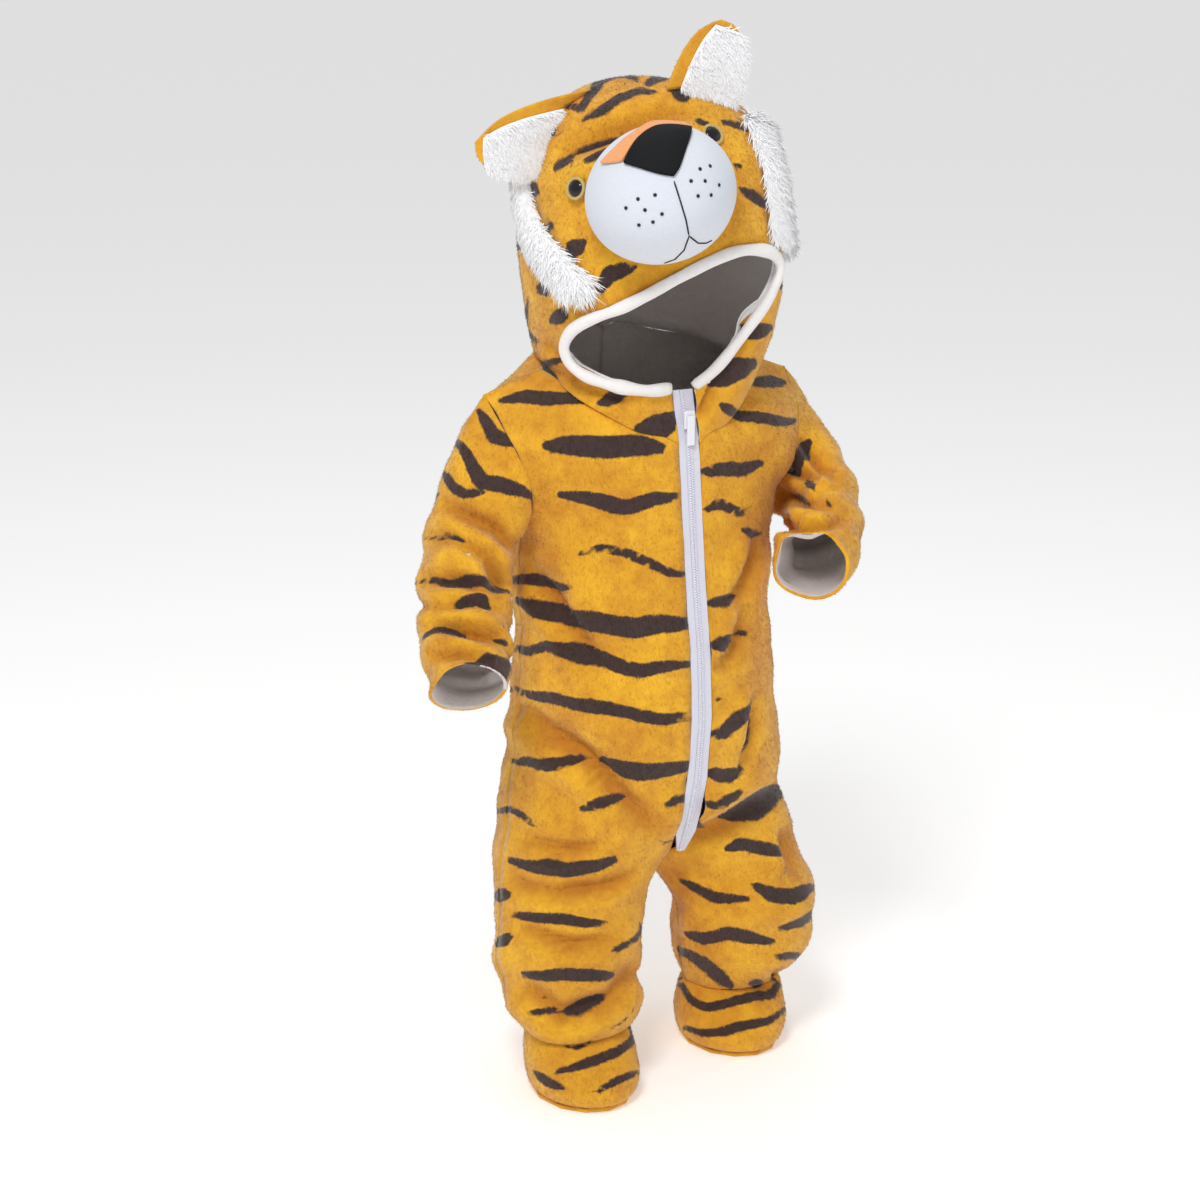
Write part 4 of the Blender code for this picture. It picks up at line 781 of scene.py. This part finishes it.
def dress(node, kind, side, levels, material, stripes=(), creases=(), ripple=0.0):
    """The look of one cloth piece: rounded, creased and given its stripes."""
    shape = smooth_copy(node, levels)
    mesh = shape.data
    points = points_of(mesh)
    ways = outward_ways(points, kind, side)
    places = seen_places(points)
    height = crease_heights(places, creases) if creases else np.zeros(len(points))
    if kind == "hood":
        facing = np.clip(ways @ VIEW_BACK / HOOD_TURN, 0, 1)
        height *= HOOD_BACK_SHARE + (1 - HOOD_BACK_SHARE) * facing
    if ripple:
        along = noise_at(points * WRINKLE_STRETCH, *WRINKLE_ACROSS)
        height += ripple * (noise_at(points, *WRINKLE_EVEN) + WRINKLE_ACROSS_SHARE * along)
    height = follow_outer_face(node, mesh, points, ways, height)
    mesh.materials.append(material)
    if stripes:
        line_inside(mesh, ways)
    set_points(mesh, points + ways * height[:, None])
    if stripes:
        lumps, seed, strength = STRIPE_WARP
        warp = noise_at(points, lumps, seed)[:, None] * strength
        values = stripe_values(places + warp, stripes)
        if node in ("front_left", "back_left"):
            hidden = np.clip((points[:, 1] - HIDDEN_SUIT_FROM) / HIDDEN_SUIT_BLEND, 0, 1)
            mirrored = hidden_stripes(points, SUIT_RIGHT, 1 - hidden)
            values = np.maximum(values - HIDDEN_FADE * hidden, mirrored)
        if node == "hood_side_left":
            shown = (HIDDEN_HOOD_FROM - points[:, 1]) / HIDDEN_HOOD_BLEND
            values = np.maximum(values, hidden_stripes(points, HOOD, shown))
        set_values(mesh, "stripe", values)
        # How far each point lies in a crease's trough, for the painted shade there
        set_values(mesh, "fold", np.clip(-height / FOLD_SHADE_DEPTH, 0, 1))
    # Share of painted shade deep inside the hood, for the lining
    if material == LINING or stripes:
        set_values(mesh, "deep", lining_shade_share(points))
    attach(shape, "garment")
    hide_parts(node)
    return shape, ways


def nap(shape, ways, count):
    """Short plush nap over a dressed piece."""
    made = hair(shape.name.replace("_look", "_nap"), shape.data, ways, count, NAP_LENGTH, NAP_WIDTH,
                NAP_LEAN, hang, NAP, sum(map(ord, shape.name)))
    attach(made, "garment")


def hang(points):
    """Fur lies downwards, with slow turns where it was stroked."""
    return STROKE_DOWN + noise_at(points, *STROKE_LUMPS)[:, None] * STROKE_TURN


def leave_plain(shape):
    """No stripe anywhere on a piece."""
    set_values(shape.data, "stripe", np.full(len(shape.data.vertices), NO_STRIPE))


def dress_side(side):
    """All plush and lining pieces of one side of the romper."""
    right = side == "right"
    stripes = SUIT_RIGHT if right else SUIT_LEFT
    for half in ("front", "back"):
        shape, ways = dress(f"{half}_{side}", "suit", side, 2, PLUSH, stripes, SUIT_FOLDS,
                            SUIT_WRINKLE)
        nap(shape, ways, PANEL_NAP)
    shape, ways = dress(f"sleeve_{side}", "sleeve", side, 2, PLUSH,
                        SLEEVE_RIGHT if right else SLEEVE_LEFT,
                        SLEEVE_RIGHT_FOLDS if right else SLEEVE_LEFT_FOLDS, SLEEVE_WRINKLE)
    nap(shape, ways, SLEEVE_NAP)
    shape, ways = dress(f"foot_upper_{side}", "suit", side, 2, PLUSH, stripes, (),
                        FOOT_WRINKLE)
    nap(shape, ways, FOOT_NAP)
    shape, ways = dress(f"hood_side_{side}", "hood", side, 2, PLUSH, HOOD, HOOD_FOLDS,
                        HOOD_WRINKLE)
    nap(shape, ways, HOOD_SIDE_NAP)
    shape, ways = dress(f"sole_{side}", "suit", side, 0, PLUSH)
    leave_plain(shape)
    dress(f"lining_{side}", "hood", side, 2, LINING, (), HOOD_FOLDS, HOOD_WRINKLE)
    shape, ways = dress(f"ear_back_{side}", "hood", side, 2, PLUSH)
    leave_plain(shape)
    nap(shape, np.tile(-np.array(EAR_FACING[side]), (len(ways), 1)), EAR_NAP)
    dress(f"ear_inner_{side}", "hood", side, 2, WHITE)
    dress(f"fur_band_{side}", "hood", side, 2, WHITE)


def dress_roll():
    """The soft white edge that is turned out round the face opening."""
    roll = smooth_copy("opening_roll", 2)
    roll.data.materials.append(TURNED_EDGE)
    points = points_of(roll.data)
    ways = np.empty(len(points) * 3, np.float32)
    roll.data.vertex_normals.foreach_get("vector", ways)
    share, lumps, seed = ROLL_UNEVEN
    swell = ROLL_SWELL * (1 + share * noise_at(points, lumps, seed))
    set_points(roll.data, points + ways.reshape(-1, 3) * swell[:, None])
    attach(roll, "garment")
    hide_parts("opening_roll")


def band_length(roots):
    """Short fur up by the ear, long wisps at the near band's lower end."""
    low = np.clip((roots[:, 2] - BAND_LOW) / BAND_RISE, 0, 1)
    return BAND_LONG - BAND_SHORTENED * low


def long_fur(node, facing):
    """Long white strands over a white piece, on its outer side or on the side that faces so."""
    count, length, lie, lean, seed = LONG_FUR[node]
    shape = bpy.data.objects[node + "_look"]
    points = points_of(shape.data)
    if facing is None:
        ways = outward_ways(points, "hood", "right")
    else:
        ways = np.tile(np.array(facing, float), (len(points), 1))
    made = hair(node + "_fur", shape.data, ways, count, length or band_length, LONG_FUR_WIDTH, lean,
                lie, WHITE_HAIR, seed, curl=LONG_FUR_CURL)
    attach(made, "garment")


dress_side("right")
dress_side("left")
shape, ways = dress("hood_face", "hood", "right", 2, PLUSH, HOOD, HOOD_FOLDS, HOOD_WRINKLE)
nap(shape, ways, HOOD_FACE_NAP)
dress("lining_face", "hood", "right", 2, LINING, (), HOOD_FOLDS, HOOD_WRINKLE)
dress_roll()
long_fur("fur_band_right", None)
long_fur("fur_band_left", BAND_FACING)
long_fur("ear_inner_right", EAR_FACING["right"])
long_fur("ear_inner_left", EAR_FACING["left"])


def simple_look(node, levels, material, crease_angle=50):
    """The look of a piece that needs no folds: rounded and given its material."""
    shape = smooth_copy(node, levels, crease_angle)
    shape.data.materials.append(material)
    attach(shape, "garment")
    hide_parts(node)
    return shape


muzzle = simple_look("muzzle", 2, MUZZLE, crease_angle=70)
simple_look("nose", 2, BLACK_CLOTH)
simple_look("nose_bridge", 2, PEACH)
for side in ("right", "left"):
    simple_look(f"eye_ring_{side}", 1, RING)
    simple_look(f"eye_pupil_{side}", 2, BLACK_SHINE, crease_angle=100)
for side in ("right", "left"):
    simple_look(f"zip_tape_{side}", 0, ZIP_TAPE)
simple_look("zip_chain", 0, ZIP_TAPE)


def rounded_look(node, width, body):
    """A zip part with its corners rounded."""
    shape = smooth_copy(node, 0)
    modifier = shape.modifiers.new("round", "BEVEL")
    modifier.width = width
    modifier.segments = 3
    graph = bpy.context.evaluated_depsgraph_get()
    made = bpy.data.meshes.new_from_object(shape.evaluated_get(graph))
    shape.modifiers.clear()
    shape.data = made
    made.materials.clear()
    made.materials.append(ZIP_TEETH)
    made.shade_smooth()
    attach(shape, body)
    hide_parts(node)


rounded_look("zip_slider", SLIDER_ROUND, "garment")
rounded_look("zip_pull_tab", TAB_ROUND, "pull_tab")


def build_teeth():
    """Two rows of small rounded coils down the zip's chain."""
    points = points_of(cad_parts["zip_chain"].data)
    order = np.argsort(points[:, 2])
    levels = np.unique(np.round(points[order, 2], 4))
    fronts = [points[np.abs(points[:, 2] - level) < 0.2 * MM, 1].min() for level in levels]
    work = bmesh.new()
    height = levels[-1] - TOOTH_STEP
    side = 1
    while height > levels[0] + TOOTH_STEP:
        depth = float(np.interp(height, levels, fronts)) - TOOTH_SEAT
        place = Matrix.Translation((side * TOOTH_OUT, depth, height))
        place = place @ Matrix.Rotation(side * TOOTH_TILT, 4, "Y")
        size = Matrix.Diagonal((*TOOTH_HALF, 1))
        bmesh.ops.create_icosphere(work, subdivisions=1, radius=1.0, matrix=place @ size)
        side = -side
        height -= TOOTH_STEP / 2
    mesh = bpy.data.meshes.new("zip_teeth")
    work.to_mesh(mesh)
    work.free()
    mesh.shade_smooth()
    mesh.materials.append(ZIP_TEETH)
    shape = bpy.data.objects.new("zip_teeth", mesh)
    bpy.context.collection.objects.link(shape)
    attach(shape, "garment")


build_teeth()


def seen_hit(tree, across, up):
    """Where a line of sight of the front quarter view meets a piece, and the way out of it."""
    eye = VIEW_AIM + VIEW_BACK * VIEW_DISTANCE
    target = VIEW_AIM + (VIEW_RIGHT * across + VIEW_UP * up) * MM
    hit = tree.ray_cast(Vector(eye), Vector(target - eye).normalized())
    return np.array(hit[0]), np.array(hit[1])


def from_picture(place):
    """Across and up in millimetres from a place in the 1200 by 1200 front quarter view."""
    return (place[0] - VIEW_MIDDLE) * VIEW_PIXEL, (VIEW_MIDDLE - place[1]) * VIEW_PIXEL


def stitched_line(name, points, normals):
    """A round thread that follows points on a piece, closed at both ends."""
    sides = THREAD_SIDES
    vertices, faces = [], []
    count = len(points)
    for index in range(count):
        way = points[min(index + 1, count - 1)] - points[max(index - 1, 0)]
        way /= np.linalg.norm(way)
        up = normals[index] - way * (normals[index] @ way)
        up /= np.linalg.norm(up)
        over = np.cross(way, up)
        size = THREAD_RADIUS * (0.45 if index in (0, count - 1) else 1.0)
        for step in range(sides):
            angle = math.tau * step / sides
            vertices.append(points[index] + (over * math.cos(angle) + up * math.sin(angle)) * size)
    for index in range(count - 1):
        for step in range(sides):
            following = (step + 1) % sides
            faces.append((index * sides + step, index * sides + following,
                          (index + 1) * sides + following, (index + 1) * sides + step))
    faces.append(tuple(range(sides))[::-1])
    faces.append(tuple(range((count - 1) * sides, count * sides)))
    mesh = bpy.data.meshes.new(name)
    mesh.from_pydata([tuple(v) for v in vertices], [], faces)
    mesh.shade_smooth()
    mesh.materials.append(THREAD)
    shape = bpy.data.objects.new(name, mesh)
    bpy.context.collection.objects.link(shape)
    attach(shape, "garment")


def stitch_mouth(tree):
    """The mouth's stitched lines over the muzzle."""
    for number, line in enumerate(MOUTH):
        points, normals = [], []
        line = np.array(line, float)
        steps = (len(line) - 1) * THREAD_STEPS
        for step in range(steps + 1):
            place = step / steps * (len(line) - 1)
            low = min(int(place), len(line) - 2)
            part = place - low
            spot = line[low] * (1 - part) + line[low + 1] * part
            hit, normal = seen_hit(tree, *from_picture(spot))
            points.append(hit + normal * THREAD_LIFT)
            normals.append(normal)
        stitched_line(f"mouth_line_{number + 1}", points, normals)


def sew_dots(tree):
    """The whiskers' stitched dots."""
    for number, place in enumerate(WHISKERS):
        hit, normal = seen_hit(tree, *from_picture(place))
        bpy.ops.mesh.primitive_uv_sphere_add(segments=12, ring_count=8, radius=DOT_RADIUS,
                                             location=hit + normal * DOT_LIFT)
        dot = bpy.context.object
        dot.name = f"whisker_dot_{number + 1}"
        dot.scale = (1, 1, DOT_FLATNESS)
        dot.rotation_euler = Vector(normal).to_track_quat("Z", "Y").to_euler()
        bpy.ops.object.transform_apply(location=False, rotation=True, scale=True)
        dot.data.materials.append(THREAD)
        dot.data.shade_smooth()
        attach(dot, "garment")


muzzle_tree = BVHTree.FromObject(muzzle, bpy.context.evaluated_depsgraph_get())
stitch_mouth(muzzle_tree)
sew_dots(muzzle_tree)


def build_stage():
    """Pale floor, pale surroundings and soft light from the front left and above."""
    mesh = bpy.data.meshes.new("floor")
    low = -HOLD_HEIGHT - FLOOR_GAP
    far = FLOOR_REACH
    corners = [(-far, -far, low), (far, -far, low), (far, far, low), (-far, far, low)]
    mesh.from_pydata(corners, [], [(0, 1, 2, 3)])
    pale = plain_material("pale_floor", colour(250, 250, 250), 0.9)
    shader = pale.node_tree.nodes["Principled BSDF"]
    shader.inputs["Emission Color"].default_value = (1, 1, 1, 1)
    shader.inputs["Emission Strength"].default_value = FLOOR_GLOW
    mesh.materials.append(pale)
    floor = bpy.data.objects.new("floor", mesh)
    bpy.context.collection.objects.link(floor)
    world = bpy.data.worlds.new("world")
    bpy.context.scene.world = world
    world.use_nodes = True
    background = world.node_tree.nodes["Background"]
    background.inputs["Color"].default_value = (1.0, 1.0, 1.0, 1)
    background.inputs["Strength"].default_value = WORLD_STRENGTH
    for name, place, size, power in LIGHTS:
        data = bpy.data.lights.new(name, "AREA")
        data.size = size
        data.energy = power
        light = bpy.data.objects.new(name, data)
        bpy.context.collection.objects.link(light)
        light.location = place
        light.rotation_euler = (LIGHT_AIM - Vector(place)).to_track_quat("-Z", "Y").to_euler()


def build_camera():
    """The front quarter view."""
    data = bpy.data.cameras.new("camera")
    data.lens = VIEW_LENS
    data.sensor_width = 36
    camera = bpy.data.objects.new("camera", data)
    bpy.context.collection.objects.link(camera)
    camera.location = VIEW_AIM + VIEW_BACK * VIEW_DISTANCE
    camera.rotation_euler = Vector(VIEW_BACK).to_track_quat("Z", "Y").to_euler()
    bpy.context.scene.camera = camera
    bpy.context.scene.view_settings.view_transform = "Standard"


build_stage()
build_camera()
